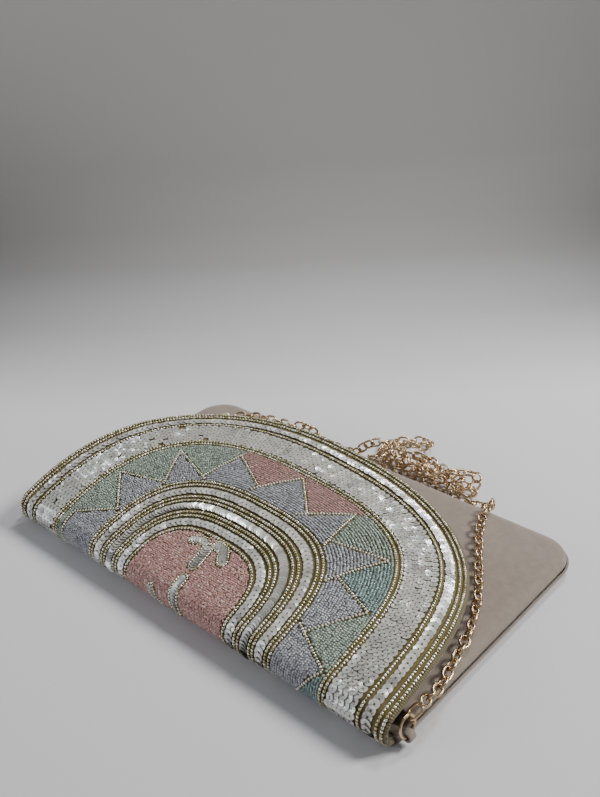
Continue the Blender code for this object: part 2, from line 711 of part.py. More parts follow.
def build_snap(front_board, flap_board, crown):
    """Magnetic snap: stud on the flap, socket on the front panel, a washer behind each."""
    centre, normal = snap_frame()
    stud_top = centre - normal * (FLAP_THICKNESS + SEAT_GAP)
    stud_face = stud_top - normal * STUD_THICKNESS
    stud = cylinder("snap_stud", STUD_RADIUS, stud_top, stud_face)
    post_end = stud_face - normal * POST_LENGTH
    post = cylinder("post_guide", POST_RADIUS, stud_face + normal * STUD_THICKNESS / 2, post_end, 16)
    post.hide_render = True
    post.display_type = "WIRE"
    join = stud.modifiers.new("post", "BOOLEAN")
    join.operation = "UNION"
    join.solver = "EXACT"
    join.object = post
    finish(stud, (0.72, 0.55, 0.36), 0.3, 1.0)

    socket_face = stud_face - normal * SEAT_GAP
    socket_seat = socket_face - normal * SOCKET_THICKNESS
    socket = cylinder("snap_socket", SOCKET_RADIUS, socket_face, socket_seat)
    hole_end = socket_face - normal * (POST_LENGTH + GAP)
    hole = cylinder(
        "socket_hole_guide", POST_RADIUS + POST_CLEARANCE, socket_face + normal * CUT_OVERRUN, hole_end, 16)
    finish(cut(socket, hole), (0.72, 0.55, 0.36), 0.3, 1.0)

    seat = snap_seat()
    panel_normal = front_normal(seat.y - FOLD_Y, crown)
    layers = (
        ("snap_washer_flap", flap_board, centre, normal, BOARD_DEPTH, FLAP_BOARD),
        ("snap_washer_front", front_board, seat, panel_normal, CLOTH + GAP, BOARD),
    )
    for name, board, surface, out, depth, thickness in layers:
        top = surface - out * (depth + GAP)
        bottom = top - out * (thickness - 2 * GAP)
        washer = cylinder(name, WASHER_RADIUS, top, bottom)
        finish(washer, (0.6, 0.6, 0.6), 0.35, 1.0)
        opening = cylinder(
            name + "_hole_guide", WASHER_RADIUS + GAP, top + out * CUT_OVERRUN, bottom - out * CUT_OVERRUN)
        cut(board, opening)


def ring_loop_centre(side):
    """Centre of the tab's loop, which is also the ring's swing axis."""
    rise = TAB_RISE + CLOTH + GAP + TAB_THICKNESS / 2
    return Vector((side * (POUCH_HALF + LOOP_OVERHANG), FOLD_Y + RING_REACH, rise))


def build_tab(side, name):
    """Cloth tab sewn to the back panel, looped round the ring's wire."""
    loop = ring_loop_centre(side)
    ring_rise = RING_RADIUS - math.sqrt(RING_RADIUS ** 2 - (TAB_WIDTH / 2) ** 2)
    loop_inner = RING_WIRE + ring_rise + GAP
    loop_outer = loop_inner + TAB_WALL
    base = Vector((loop.x - side * TAB_LENGTH, loop.y, loop.z - TAB_RISE))
    run = (loop - base).normalized()
    up = Vector((-run.z, 0.0, run.x)) * side
    reach = math.sqrt(loop_outer ** 2 - (TAB_THICKNESS / 2) ** 2)
    corners = [base - up * TAB_THICKNESS / 2, loop - run * reach - up * TAB_THICKNESS / 2]
    start = math.atan2(-TAB_THICKNESS / 2, -reach)
    steps = 14
    sweep = 2 * math.pi - 2 * math.asin(TAB_THICKNESS / 2 / loop_outer)
    for i in range(1, steps):
        angle = start + sweep * i / steps
        corners.append(loop + run * math.cos(angle) * loop_outer + up * math.sin(angle) * loop_outer)
    corners += [loop - run * reach + up * TAB_THICKNESS / 2, base + up * TAB_THICKNESS / 2]
    bm = bmesh.new()
    half = Vector((0.0, TAB_WIDTH / 2, 0.0))
    face = bm.faces.new([bm.verts.new(corner - half) for corner in corners])
    extruded = bmesh.ops.extrude_face_region(bm, geom=[face])
    moved = [item for item in extruded["geom"] if isinstance(item, bmesh.types.BMVert)]
    bmesh.ops.translate(bm, vec=2 * half, verts=moved)
    tab = object_from_bmesh(name, bm)
    overrun = Vector((0.0, TAB_WIDTH / 2 + CUT_OVERRUN, 0.0))
    hole = cylinder(name + "_hole_guide", loop_inner, loop - overrun, loop + overrun, 16)
    return finish(cut(tab, hole), (0.37, 0.33, 0.30), 0.85)


def closed_wire(name, points, wire, sides, parent):
    """Closed round wire through a ring of points, hung from a parent empty."""
    bm = bmesh.new()
    count = len(points)
    middle = sum(points, Vector()) / count
    normal = (points[0] - middle).cross(points[count // 4] - middle).normalized()
    rings = []
    for i, point in enumerate(points):
        along = (points[(i + 1) % count] - points[i - 1]).normalized()
        out = along.cross(normal).normalized()
        ring = []
        for j in range(sides):
            angle = 2 * math.pi * j / sides
            offset = out * math.cos(angle) * wire + normal * math.sin(angle) * wire
            ring.append(bm.verts.new(point + offset - parent.location))
        rings.append(ring)
    for i in range(count):
        first, second = rings[i], rings[(i + 1) % count]
        for j in range(sides):
            bm.faces.new([first[j], second[j], second[(j + 1) % sides], first[(j + 1) % sides]])
    obj = object_from_bmesh(name, bm)
    obj.parent = parent
    return obj


def build_ring(side, suffix):
    """Round ring in its tab and the chain's end link hooked through it."""
    loop = ring_loop_centre(side)
    pivot = bpy.data.objects.new("ring_pivot_" + suffix, None)
    pivot.location = loop
    bpy.context.scene.collection.objects.link(pivot)
    up = Vector((-side * math.sin(RING_LEAN), 0.0, math.cos(RING_LEAN)))
    along = Vector((0.0, 1.0, 0.0))
    centre = loop + up * RING_RADIUS
    ring_points = []
    for i in range(24):
        angle = 2 * math.pi * i / 24
        ring_points.append(centre + RING_RADIUS * (along * math.cos(angle) + up * math.sin(angle)))
    ring = closed_wire("ring_" + suffix, ring_points, RING_WIRE, 8, pivot)
    finish(ring, (0.72, 0.55, 0.36), 0.25, 1.0)

    out = along * math.cos(LINK_HOOK_ANGLE) + up * math.sin(LINK_HOOK_ANGLE)
    hook = centre + out * RING_RADIUS
    heading = Vector((LINK_HEADING.x * side, LINK_HEADING.y, LINK_HEADING.z))
    ring_normal = along.cross(up).normalized()
    wide = (ring_normal - heading * ring_normal.dot(heading)).normalized()
    half_width = LINK_WIDTH / 2 - LINK_WIRE
    half_run = LINK_LENGTH / 2 - LINK_WIRE - half_width
    near = hook - heading * (RING_WIRE + LINK_WIRE + GAP)
    middle = near + heading * (half_run + half_width)
    link_points = []
    for i in range(20):
        angle = 2 * math.pi * (i + 0.5) / 20
        shift = math.copysign(half_run, math.cos(angle))
        link_points.append(
            middle + heading * (shift + half_width * math.cos(angle)) + wide * half_width * math.sin(angle))
    link = closed_wire("end_link_" + suffix, link_points, LINK_WIRE, 6, pivot)
    finish(link, (0.72, 0.55, 0.36), 0.25, 1.0)


def smooth_route(points, spacing):
    """Reads points at even spacing from a smooth curve through a route's points."""
    fine = []
    for i in range(len(points) - 1):
        before = points[i - 1] if i else points[0] * 2 - points[1]
        after = points[i + 2] if i + 2 < len(points) else points[-1] * 2 - points[-2]
        span = (points[i + 1] - points[i]).length
        start_pull = points[i] + (points[i + 1] - before).normalized() * span / 3
        end_pull = points[i + 1] - (after - points[i]).normalized() * span / 3
        piece = geometry.interpolate_bezier(points[i], start_pull, end_pull, points[i + 1], 17)
        fine += piece if i == 0 else piece[1:]
    lengths = [0.0]
    for first, second in zip(fine, fine[1:]):
        lengths.append(lengths[-1] + (second - first).length)
    count = max(2, round(lengths[-1] / spacing))
    result, place = [], 0
    for i in range(count + 1):
        target = lengths[-1] * i / count
        while place < len(fine) - 2 and lengths[place + 1] < target:
            place += 1
        span = lengths[place + 1] - lengths[place]
        result.append(fine[place].lerp(fine[place + 1], (target - lengths[place]) / span))
    return result


def route_length(points):
    """Length of a run of points."""
    return sum((second - first).length for first, second in zip(points, points[1:]))


def heap_route():
    """Centre line of the chain heap, from its right end up through its layers to its left end."""
    cross = []
    for i in range(HEAP_CROSS_RUNS):
        ends = (HEAP_CROSS_FAR, HEAP_CROSS_NEAR) if i % 2 == 0 else (HEAP_CROSS_NEAR, HEAP_CROSS_FAR)
        sway = HEAP_CROSS_SWAY * math.sin(2 * i)
        for end in ends:
            cross.append((HEAP_CROSS_START + HEAP_CROSS_STEP * i, end + sway, HEAP_LAYER))
    low = Vector((0.0, POUCH_DEPTH / 2, CHAIN_DIAMETER / 2 + TABLE_GAP))
    places = [low + Vector(place) for place in (*HEAP_RUNS, *HEAP_ARM, *cross, *HEAP_TOP)]
    return smooth_route(places, HEAP_POINT_SPACING)


def least_gap(points, diameter):
    """Least gap of a tube to itself, measured between points a few diameters apart."""
    fine = []
    for first, second in zip(points, points[1:]):
        steps = max(1, int((second - first).length / (diameter / 6)))
        fine += [first.lerp(second, i / steps) for i in range(steps)]
    lengths = [0.0]
    for first, second in zip(fine, fine[1:]):
        lengths.append(lengths[-1] + (second - first).length)
    least = None
    for i, first in enumerate(fine):
        for j in range(i + 1, len(fine)):
            if lengths[j] - lengths[i] < math.pi * diameter:
                continue
            gap = (fine[j] - first).length - diameter
            least = gap if least is None else min(least, gap)
    return least


def chain_start(side):
    """Place where the chain's free run meets the end link."""
    loop = ring_loop_centre(side)
    up = Vector((-side * math.sin(RING_LEAN), 0.0, math.cos(RING_LEAN)))
    out = Vector((0.0, math.cos(LINK_HOOK_ANGLE), 0.0)) + up * math.sin(LINK_HOOK_ANGLE)
    hook = loop + up * RING_RADIUS + out * RING_RADIUS
    heading = Vector((LINK_HEADING.x * side, LINK_HEADING.y, LINK_HEADING.z))
    far = hook + heading * (LINK_LENGTH - RING_WIRE - 3 * LINK_WIRE - GAP)
    return Vector((far.x, far.y + LINK_WIRE + GAP, far.z))


def resting_place(across, along, crown):
    """Place of the chain's line where it lies on the front panel, from shares of its size."""
    x = POUCH_HALF * across
    reach = POUCH_DEPTH * along
    radius = CHAIN_DIAMETER / 2
    inner = math.copysign(min(abs(x), POUCH_HALF) - radius, x)
    height = front_height(inner, min(reach, POUCH_DEPTH - radius), 0.0, crown)
    return Vector((x, FOLD_Y + reach, height + radius + CHAIN_REST_GAP))


def build_chain(crown):
    """Chain strap: a run from each ring over the far edge, and the heap between them."""
    heap = heap_route()
    first_run = (heap[1] - heap[0]).normalized()
    last_run = (heap[-1] - heap[-2]).normalized()
    straight = GAP + CHAIN_POINT_SPACING
    right = [chain_start(1.0)] + [resting_place(*place, crown) for place in RIGHT_RUN_SHARES]
    right += [Vector((POUCH_HALF * x, POUCH_DEPTH / 2 + y, z)) for x, y, z in RIGHT_FALL]
    right += [heap[0] - first_run * straight, heap[0] - first_run * GAP]
    left = [heap[-1] + last_run * GAP, heap[-1] + last_run * straight]
    left += [Vector((POUCH_HALF * x, POUCH_DEPTH / 2 + y, z)) for x, y, z in LEFT_CLIMB]
    left += [resting_place(*place, crown) for place in LEFT_RUN_SHARES] + [chain_start(-1.0)]
    total = route_length(heap)
    for name, route in (("chain_run_right", right), ("chain_run_left", left)):
        points = smooth_route(route, CHAIN_POINT_SPACING)
        total += route_length(points)
        finish(tube(name, points, CHAIN_DIAMETER, 2), (0.72, 0.55, 0.36), 0.25, 1.0)
    finish(tube("chain_heap", heap, CHAIN_DIAMETER, 1), (0.72, 0.55, 0.36), 0.25, 1.0)
    print("chain length %.3f m" % total)
    print("chain heap's least gap to itself %.2f mm" % (least_gap(heap, CHAIN_DIAMETER) * 1000))


def main():
    """Builds the whole clutch."""
    clear_scene()
    crown = front_crown()
    build_front_panel(crown)
    build_back_panel()
    front_board = build_pouch_inside(crown)
    build_fold_strips()
    flap_board = build_flap_layers()
    build_edge_cord()
    build_bands()
    build_snap(front_board, flap_board, crown)
    for side, suffix in ((1.0, "right"), (-1.0, "left")):
        build_tab(side, "ring_tab_" + suffix)
        build_ring(side, suffix)
    build_chain(crown)


main()
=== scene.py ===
"""A beaded half-moon clutch with a chain strap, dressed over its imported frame."""
import logging
import math
import random
from dataclasses import dataclass, field
from enum import Enum
from itertools import accumulate
from typing import Any, Callable, ClassVar, Iterable, NamedTuple, Sequence

import bmesh
import bpy
from mathutils import Matrix, Vector, geometry


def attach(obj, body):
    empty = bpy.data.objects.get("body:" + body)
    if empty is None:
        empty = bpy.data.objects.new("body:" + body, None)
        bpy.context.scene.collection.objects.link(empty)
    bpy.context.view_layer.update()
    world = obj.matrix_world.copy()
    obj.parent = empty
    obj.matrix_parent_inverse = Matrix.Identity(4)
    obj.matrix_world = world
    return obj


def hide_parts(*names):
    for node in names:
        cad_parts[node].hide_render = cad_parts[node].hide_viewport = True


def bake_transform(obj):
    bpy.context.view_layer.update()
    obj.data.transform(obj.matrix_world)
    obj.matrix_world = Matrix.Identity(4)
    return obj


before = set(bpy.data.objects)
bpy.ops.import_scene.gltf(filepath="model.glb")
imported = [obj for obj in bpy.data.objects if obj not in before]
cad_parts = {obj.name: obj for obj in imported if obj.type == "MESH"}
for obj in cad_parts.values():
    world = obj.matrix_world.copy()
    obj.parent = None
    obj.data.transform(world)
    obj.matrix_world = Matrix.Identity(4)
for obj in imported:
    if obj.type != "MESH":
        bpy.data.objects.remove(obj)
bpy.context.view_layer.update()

LOG = logging.getLogger("clutch")
Place = tuple[float, float]
Spot = tuple[float, float, float]
Stops = Sequence[tuple[float, str]]
Faces = list[tuple[int, ...]]
Grid = list[list[Vector]]
MM = 0.001
ROLL = 0.009
POUCH_DEPTH = 0.152
UP = Vector((0.0, 0.0, 1.0))
UPRIGHT = 0.05
TINY = 1e-9
BODIES = ("pouch", "fold_1", "fold_2", "fold_3", "flap")


class Slot(str, Enum):
    """Material slots of the record."""

    POUCH = "pouch_cloth"
    BOARD = "board"
    LINING = "lining"
    GROUND = "base_cloth"
    CORD = "cord"
    GOLD = "gold_beads"
    SEQUIN = "sequins"
    ZIGZAG = "zigzag_beads"
    CENTRE = "centre_beads"
    FOLD = "fold_beads"
    METAL = "gold_metal"
    WASHER = "washer_metal"


class Hue(Enum):
    """Places on the colour ramps of the beads that come in several colours."""

    GREY = 0.1
    GREEN = 0.3
    TEAL = 0.5
    PINK = 0.7
    SILVER = 0.9


# ---------------------------------------------------------------- materials


def linear(code: str) -> tuple[float, float, float, float]:
    """Turns a screen colour into the linear one that a shader takes.

    Args:
        code: Six hexadecimal digits.

    Returns:
        Red, green, blue and a full alpha.
    """
    parts = [int(code[i:i + 2], 16) / 255 for i in (0, 2, 4)]
    flat = [p / 12.92 if p <= 0.04045 else ((p + 0.055) / 1.055) ** 2.4 for p in parts]
    return (flat[0], flat[1], flat[2], 1.0)


class Channel:
    """A number that changes over a surface, as a socket in a material."""

    def __init__(self, bench: "Bench", socket: bpy.types.NodeSocket) -> None:
        """Keeps the socket and the bench that it was made on."""
        self.bench = bench
        self.socket = socket

    def __add__(self, other: Any) -> "Channel":
        """Sum."""
        return self.bench.math("ADD", self, other)

    def __sub__(self, other: Any) -> "Channel":
        """Difference."""
        return self.bench.math("SUBTRACT", self, other)

    def __rsub__(self, other: Any) -> "Channel":
        """Difference from a number on the left."""
        return self.bench.math("SUBTRACT", other, self)

    def __mul__(self, other: Any) -> "Channel":
        """Product."""
        return self.bench.math("MULTIPLY", self, other)

    __radd__ = __add__

    def clamped(self) -> "Channel":
        """The same number held between 0 and 1."""
        return self.bench.math("MAXIMUM", self.bench.math("MINIMUM", self, 1.0), 0.0)


class Desk:
    """Adds nodes to a tree of any kind."""

    def __init__(self, tree: bpy.types.NodeTree) -> None:
        """Keeps the tree."""
        self.tree = tree

    def node(
        self, kind: str, settings: dict[str, Any] | None = None, values: dict[Any, Any] | None = None
    ) -> bpy.types.Node:
        """Adds any node.

        Args:
            kind: The node's type.
            settings: Its settings, set first; "stops" holds a ramp's (place, colour) pairs.
            values: Numbers, colours, sockets or channels for its inputs, by name or number.

        Returns:
            The node.
        """
        made = self.tree.nodes.new(kind)
        for key, value in (settings or {}).items():
            if key == "stops":
                self._fill_ramp(made.color_ramp, value)
            else:
                setattr(made, key, value)
        for key, value in (values or {}).items():
            self.feed(made.inputs[key], value)
        return made

    @staticmethod
    def _fill_ramp(ramp: bpy.types.ColorRamp, stops: Stops) -> None:
        """Sets a ramp's stops from (place, colour code) pairs."""
        while len(ramp.elements) < len(stops):
            ramp.elements.new(0.5)
        for element, (place, code) in zip(ramp.elements, stops):
            element.position = place
            element.color = linear(code)

    def feed(self, socket: bpy.types.NodeSocket, value: Any) -> None:
        """Links a socket or sets its value.

        Args:
            socket: The input.
            value: A channel, a socket, a colour code for a colour, or a plain value.
        """
        if isinstance(value, Channel):
            value = value.socket
        if isinstance(value, bpy.types.NodeSocket):
            self.tree.links.new(value, socket)
        elif socket.type == "RGBA" and isinstance(value, str):
            socket.default_value = linear(value)
        else:
            socket.default_value = value


class Bench(Desk):
    """Builds one material's nodes around a Principled shader."""

    def __init__(self, name: str) -> None:
        """Starts an empty material.

        Args:
            name: The material's name.
        """
        self.material = bpy.data.materials.new(name)
        self.material.use_nodes = True
        super().__init__(self.material.node_tree)
        self.tree.nodes.clear()
        self.shader = self.node("ShaderNodeBsdfPrincipled")
        self.node("ShaderNodeOutputMaterial", None, {0: self.shader.outputs[0]})

    def math(self, operation: str, first: Any, second: Any = 0.0) -> Channel:
        """Adds a Math node on two numbers and returns its result."""
        made = self.node("ShaderNodeMath", {"operation": operation}, {0: first, 1: second})
        return Channel(self, made.outputs[0])

    def mix(self, share: Any, first: Any, second: Any) -> bpy.types.NodeSocket:
        """Blends two colours by a share and returns the colour socket."""
        made = self.node("ShaderNodeMix", {"data_type": "RGBA"}, {0: share, 6: first, 7: second})
        return made.outputs[2]

    def shade(self, colour: Any, light: Any) -> bpy.types.NodeSocket:
        """Multiplies a colour by a grey that a number gives."""
        grey = self.node("ShaderNodeCombineColor", None, {0: light, 1: light, 2: light})
        made = self.node(
            "ShaderNodeMix", {"data_type": "RGBA", "blend_type": "MULTIPLY"},
            {0: 1.0, 6: colour, 7: grey.outputs[0]})
        return made.outputs[2]

    def ramp(self, share: Channel, stops: Stops, stepped: bool = False) -> bpy.types.NodeSocket:
        """Reads a colour off a ramp.

        Args:
            share: Place on the ramp.
            stops: (place, colour code) pairs.
            stepped: Whether the colours change in steps.

        Returns:
            The colour socket.
        """
        made = self.node("ShaderNodeValToRGB", {"stops": stops}, {0: share})
        made.color_ramp.interpolation = "CONSTANT" if stepped else "LINEAR"
        return made.outputs[0]

    def where(self, scale: Sequence[float] = (1.0, 1.0, 1.0)) -> bpy.types.NodeSocket:
        """The piece's own coordinates, stretched by a scale."""
        coordinates = self.node("ShaderNodeTexCoord")
        made = self.node("ShaderNodeMapping", None, {"Vector": coordinates.outputs["Object"], "Scale": scale})
        return made.outputs[0]

    def noise(self, scale: float, detail: float = 2.0, where: Any = None) -> Channel:
        """A cloudy number from 0 to 1.

        Args:
            scale: Clouds in a metre.
            detail: How many finer layers are added.
            where: The coordinates, or none for the piece's own.

        Returns:
            The number.
        """
        made = self.node(
            "ShaderNodeTexNoise", None,
            {"Vector": where or self.where(), "Scale": scale, "Detail": detail})
        return Channel(self, made.outputs["Fac"])

    def attribute(self, name: str) -> Channel:
        """A number kept on the mesh."""
        made = self.node("ShaderNodeAttribute", {"attribute_name": name})
        return Channel(self, made.outputs["Fac"])

    def pair(self, kind: str) -> tuple[Channel, Channel]:
        """The first two numbers of the piece's own Object or UV coordinates."""
        source = self.node("ShaderNodeTexCoord")
        parts = self.node("ShaderNodeSeparateXYZ", None, {0: source.outputs[kind]})
        return Channel(self, parts.outputs[0]), Channel(self, parts.outputs[1])

    def relief(self, height: Channel, strength: float, distance: float) -> bpy.types.NodeSocket:
        """A bump from a height, in metres of full depth."""
        made = self.node(
            "ShaderNodeBump", None, {"Strength": strength, "Distance": distance, "Height": height})
        return made.outputs[0]

    def done(self, **values: Any) -> bpy.types.Material:
        """Feeds the shader's sockets and returns the material.

        Args:
            **values: Socket names with spaces as underscores.

        Returns:
            The material.
        """
        for key, value in values.items():
            self.feed(self.shader.inputs[key.replace("_", " ")], value)
        return self.material


@dataclass(frozen=True)
class BeadFinish:
    """Glass or metal-lined seed beads, a little different from bead to bead, dark at the holes and with painted shade
    on their rounded ends.

    The colour is read off the stops by the bead's tint, or in steps by its hue and then shaded by its tint.
    """

    name: str
    stops: Stops
    # Colour of the holes, also used for the painted shade on the beads' rounded ends.
    hole: str
    metallic: float
    roughness: float
    coat: float
    stepped: bool = False
    darkest: float = 0.62
    shade_range: float = 0.75
    cloud_scale: float = 420.0
    wear_scale: float = 700.0
    wear: float = 0.12
    index: float = 1.52

    def make(self) -> bpy.types.Material:
        """Builds the material."""
        bench = Bench(self.name)
        tint = bench.attribute("tint")
        if self.stepped:
            base = bench.ramp(bench.attribute("hue"), self.stops, True)
            colour = bench.shade(base, self.darkest + tint * self.shade_range)
        else:
            cloud = bench.noise(self.cloud_scale)
            colour = bench.ramp((tint * 0.85 + cloud * 0.3 - 0.07).clamped(), self.stops)
        # The hole colour darkens the holes and paints shade on each bead's rounded ends.
        colour = bench.mix(bench.attribute("crest"), self.hole, colour)
        rough = self.roughness + bench.noise(self.wear_scale) * self.wear
        return bench.done(
            Base_Color=colour, Metallic=self.metallic, Roughness=rough, Coat_Weight=self.coat,
            Coat_Roughness=0.08, IOR=self.index)


@dataclass(frozen=True)
class SequinFinish:
    """Pearly cup sequins with a thin coloured film, dark holes, and painted shade on a ring, the rim and the
    underside.
    """

    name: str
    stops: Stops
    # Colour of the holes, also used for the painted shade on the rim, a ring and the underside.
    hole: str
    film: float = 400.0
    film_index: float = 1.36
    metallic: float = 0.35
    roughness: float = 0.2
    coat: float = 0.6

    def make(self) -> bpy.types.Material:
        """Builds the material."""
        bench = Bench(self.name)
        tint = bench.attribute("tint")
        cloud = bench.noise(180.0, 3.0)
        colour = bench.ramp((tint * 0.8 + cloud * 0.4 - 0.1).clamped(), self.stops)
        # The hole colour darkens the holes and paints shade on a faint ring, a dark line at the rim and the
        # underside.
        colour = bench.mix(bench.attribute("crest"), self.hole, colour)
        rough = self.roughness + bench.noise(900.0) * 0.14
        return bench.done(
            Base_Color=colour, Metallic=self.metallic, Roughness=rough, Coat_Weight=self.coat,
            Coat_Roughness=0.06, Thin_Film_Thickness=self.film, Thin_Film_IOR=self.film_index)


@dataclass(frozen=True)
class TwoTone:
    """A finish between a light and a dark colour."""

    name: str
    light: str
    dark: str


@dataclass(frozen=True)
class ClothFinish(TwoTone):
    """Fine woven cloth with a soft nap and faint clouds."""

    threads: float = 2600.0
    relief: float = 0.12 * MM
    sheen: float = 0.25
    thread_length: float = 0.12

    def make(self) -> bpy.types.Material:
        """Builds the material."""
        bench = Bench(self.name)
        across, along, deep = self.threads, self.threads * self.thread_length, self.threads * 0.4
        warp = bench.noise(1.0, 1.0, bench.where((across, along, deep)))
        weft = bench.noise(1.0, 1.0, bench.where((along, across, deep)))
        cloud = bench.noise(22.0, 4.0)
        nap = bench.noise(260.0, 3.0)
        weave = warp * 0.5 + weft * 0.5
        share = (cloud * 0.75 + nap * 0.6 + weave * 0.65 - 0.5).clamped()
        return bench.done(
            Base_Color=bench.mix(share, self.dark, self.light), Roughness=0.78 + nap * 0.16,
            Normal=bench.relief(weave + nap * 0.5, 0.7, self.relief), Sheen_Weight=self.sheen,
            Sheen_Roughness=0.5, Specular_IOR_Level=0.3)


@dataclass(frozen=True)
class ThreadFinish(TwoTone):
    """Shiny thread wound closely round a cord, with its turns along the UV's first axis."""

    def make(self) -> bpy.types.Material:
        """Builds the material."""
        bench = Bench(self.name)
        along, around = bench.pair("UV")
        wave = bench.math("SINE", (along + around * 0.6) * (2 * math.pi)) * 0.5 + 0.5
        cloud = bench.noise(160.0, 2.0)
        colour = bench.mix((wave * 0.6 + cloud * 0.5 - 0.05).clamped(), self.dark, self.light)
        return bench.done(
            Base_Color=colour, Roughness=0.42 + cloud * 0.2, Normal=bench.relief(wave, 0.9, 0.25 * MM),
            Sheen_Weight=0.3, Specular_IOR_Level=0.5)


@dataclass(frozen=True)
class MetalFinish(TwoTone):
    """Plated metal with fine scratches and duller patches."""

    roughness: float = 0.24

    def make(self) -> bpy.types.Material:
        """Builds the material."""
        bench = Bench(self.name)
        patch = bench.noise(140.0, 3.0)
        scratch = bench.noise(1.0, 2.0, bench.where((3000.0, 500.0, 900.0)))
        colour = bench.mix((patch * 1.3 - 0.2).clamped(), self.dark, self.light)
        return bench.done(
            Base_Color=colour, Metallic=1.0, Roughness=self.roughness + patch * 0.12 + scratch * 0.08,
            Normal=bench.relief(scratch, 0.25, 0.04 * MM))


@dataclass(frozen=True)
class BoardFinish(TwoTone):
    """Grey stiffening board with pressed fibres."""

    def make(self) -> bpy.types.Material:
        """Builds the material."""
        bench = Bench(self.name)
        fibre = bench.noise(1.0, 4.0, bench.where((900.0, 260.0, 900.0)))
        fleck = bench.noise(1400.0, 1.0)
        colour = bench.mix((fibre * 0.8 + fleck * 0.4 - 0.1).clamped(), self.dark, self.light)
        return bench.done(
            Base_Color=colour, Roughness=0.86 + fleck * 0.1, Normal=bench.relief(fibre, 0.5, 0.1 * MM))


@dataclass(frozen=True)
class FloorFinish:
    """Pale floor that runs up into a wall, with painted light: tones that fall off from the bright floor near the bag
    into a darker wall, a painted shadow on both sides halfway, and painted light and shade across the wall, lighter
    on its left.

    Places on the ramps go from the bag's near side to the wall, seen along the camera's view.
    """

    name: str = "pale_floor"
    view: Place = (-0.6607, 0.7507)
    near: float = 0.15
    ramp_share: float = 0.8
    # Tones of the floor and wall: painted light, bright on the floor near the bag and falling off into a darker wall.
    colours: Stops = (
        (0.0, "CFCED1"), (0.232, "D9D9DC"), (0.28, "C5C5C8"), (0.336, "B1B1B3"), (0.44, "908F8F"),
        (0.52, "898786"), (0.7, "868483"), (1.0, "888685"))
    # Where the painted shadow on both sides lies along the ramp.
    shaded: Stops = ((0.256, "000000"), (0.344, "FFFFFF"), (0.48, "FFFFFF"), (0.664, "B0B0B0"), (1.0, "000000"))
    # Where the painted light and shade across the wall lie along the ramp.
    wall: Stops = ((0.5, "000000"), (1.0, "FFFFFF"))
    # Strength of the painted shadow on both sides.
    shade: float = 0.8
    painted_wall_light_slope: float = 0.75

    def make(self) -> bpy.types.Material:
        """Builds the material."""
        bench = Bench(self.name)
        east, north = bench.pair("Object")
        away = north * self.view[1] + east * self.view[0]
        side = east * self.view[1] - north * self.view[0]
        cloud = bench.noise(3.0, 3.0)
        share = ((away + self.near) * self.ramp_share + cloud * 0.02 - 0.01).clamped()
        colour = bench.ramp(share, self.colours)
        # Painted shadow on both sides halfway, and painted light and shade across the wall, darker on its right.
        painted_shadow_mask, wall = (Channel(bench, bench.ramp(share, stops)) for stops in (self.shaded, self.wall))
        even = 1.0 - (side * side * painted_shadow_mask * (side * 5.0 + 7.5)).clamped() * self.shade
        colour = bench.shade(colour, even * (1.0 - side * wall * self.painted_wall_light_slope))
        return bench.done(
            Base_Color=colour, Roughness=0.72 + cloud * 0.1,
            Normal=bench.relief(bench.noise(900.0, 2.0), 0.15, 0.2 * MM), Specular_IOR_Level=0.25)


class Finishes:
    """The materials of every slot, made once."""

    def __init__(self) -> None:
        """Builds each finish."""
        gold = ((0.0, "8F8656"), (0.35, "C6BE96"), (0.7, "E9E4CA"), (1.0, "FFFDF2"))
        glass = ((0.0, "96989E"), (0.2, "8A998A"), (0.4, "748D8A"), (0.6, "A97C73"), (0.8, "D2CCB6"))
        rose = ((0.0, "976D65"), (0.5, "AE847B"), (0.85, "C39A91"), (1.0, "F4E2DA"))
        pearl = ((0.0, "9E9D98"), (0.25, "BEBBB6"), (0.45, "CBCDC4"), (0.7, "D6D2CC"), (1.0, "F3F1E9"))
        self.by_slot: dict[Slot, bpy.types.Material] = {
            # The third value of each bead and sequin finish colours the holes and the painted shade on the beads'
            # ends and the sequins' rims.
            Slot.GOLD: BeadFinish("gold_lined_beads", gold, "3A331A", 0.65, 0.2, 0.5).make(),
            Slot.FOLD: BeadFinish("fold_edge_beads", gold, "3A331A", 0.65, 0.26, 0.4).make(),
            Slot.ZIGZAG: BeadFinish("frosted_glass_beads", glass, "6E706A", 0.15, 0.3, 0.4, True).make(),
            Slot.CENTRE: BeadFinish("rose_glass_beads", rose, "7B5B53", 0.15, 0.3, 0.4).make(),
            Slot.SEQUIN: SequinFinish("pearl_sequins", pearl, "5A5340").make(),
            Slot.POUCH: ClothFinish("taupe_cloth", "978B81", "71665D").make(),
            Slot.LINING: ClothFinish("lining_cloth", "968B81", "756A60", 3200.0, 0.06 * MM, 0.1).make(),
            Slot.GROUND: ClothFinish("olive_ground", "7A6D42", "564B2B", 2400.0, 0.1 * MM, 0.1).make(),
            Slot.CORD: ThreadFinish("olive_thread", "74673B", "3F3619").make(),
            Slot.METAL: MetalFinish("rose_gold_plate", "EBD1AE", "AC8F69", 0.17).make(),
            Slot.WASHER: MetalFinish("nickel_plate", "C9C9CC", "9C9CA0", 0.3).make(),
            Slot.BOARD: BoardFinish("grey_board", "A69C8C", "7F776B").make(),
        }

    def __getitem__(self, slot: Slot) -> bpy.types.Material:
        """The material of a slot."""
        return self.by_slot[slot]


# ------------------------------------------------------------------- forms


def clamp(value: float) -> float:
    """The value held between 0 and 1."""
    return min(max(value, 0.0), 1.0)


def smooth_step(value: float) -> float:
    """Eases from 0 to 1 as the value goes from 0 to 1."""
    value = clamp(value)
    return value * value * (3.0 - 2.0 * value)


def edge_round(distance: float, radius: float) -> float:
    """Rises from 0 at a seam to 1 where the panel is flat, as a quarter circle."""
    if distance >= radius:
        return 1.0
    return math.sqrt(max(0.0, 1.0 - (1.0 - max(distance, 0.0) / radius) ** 2))


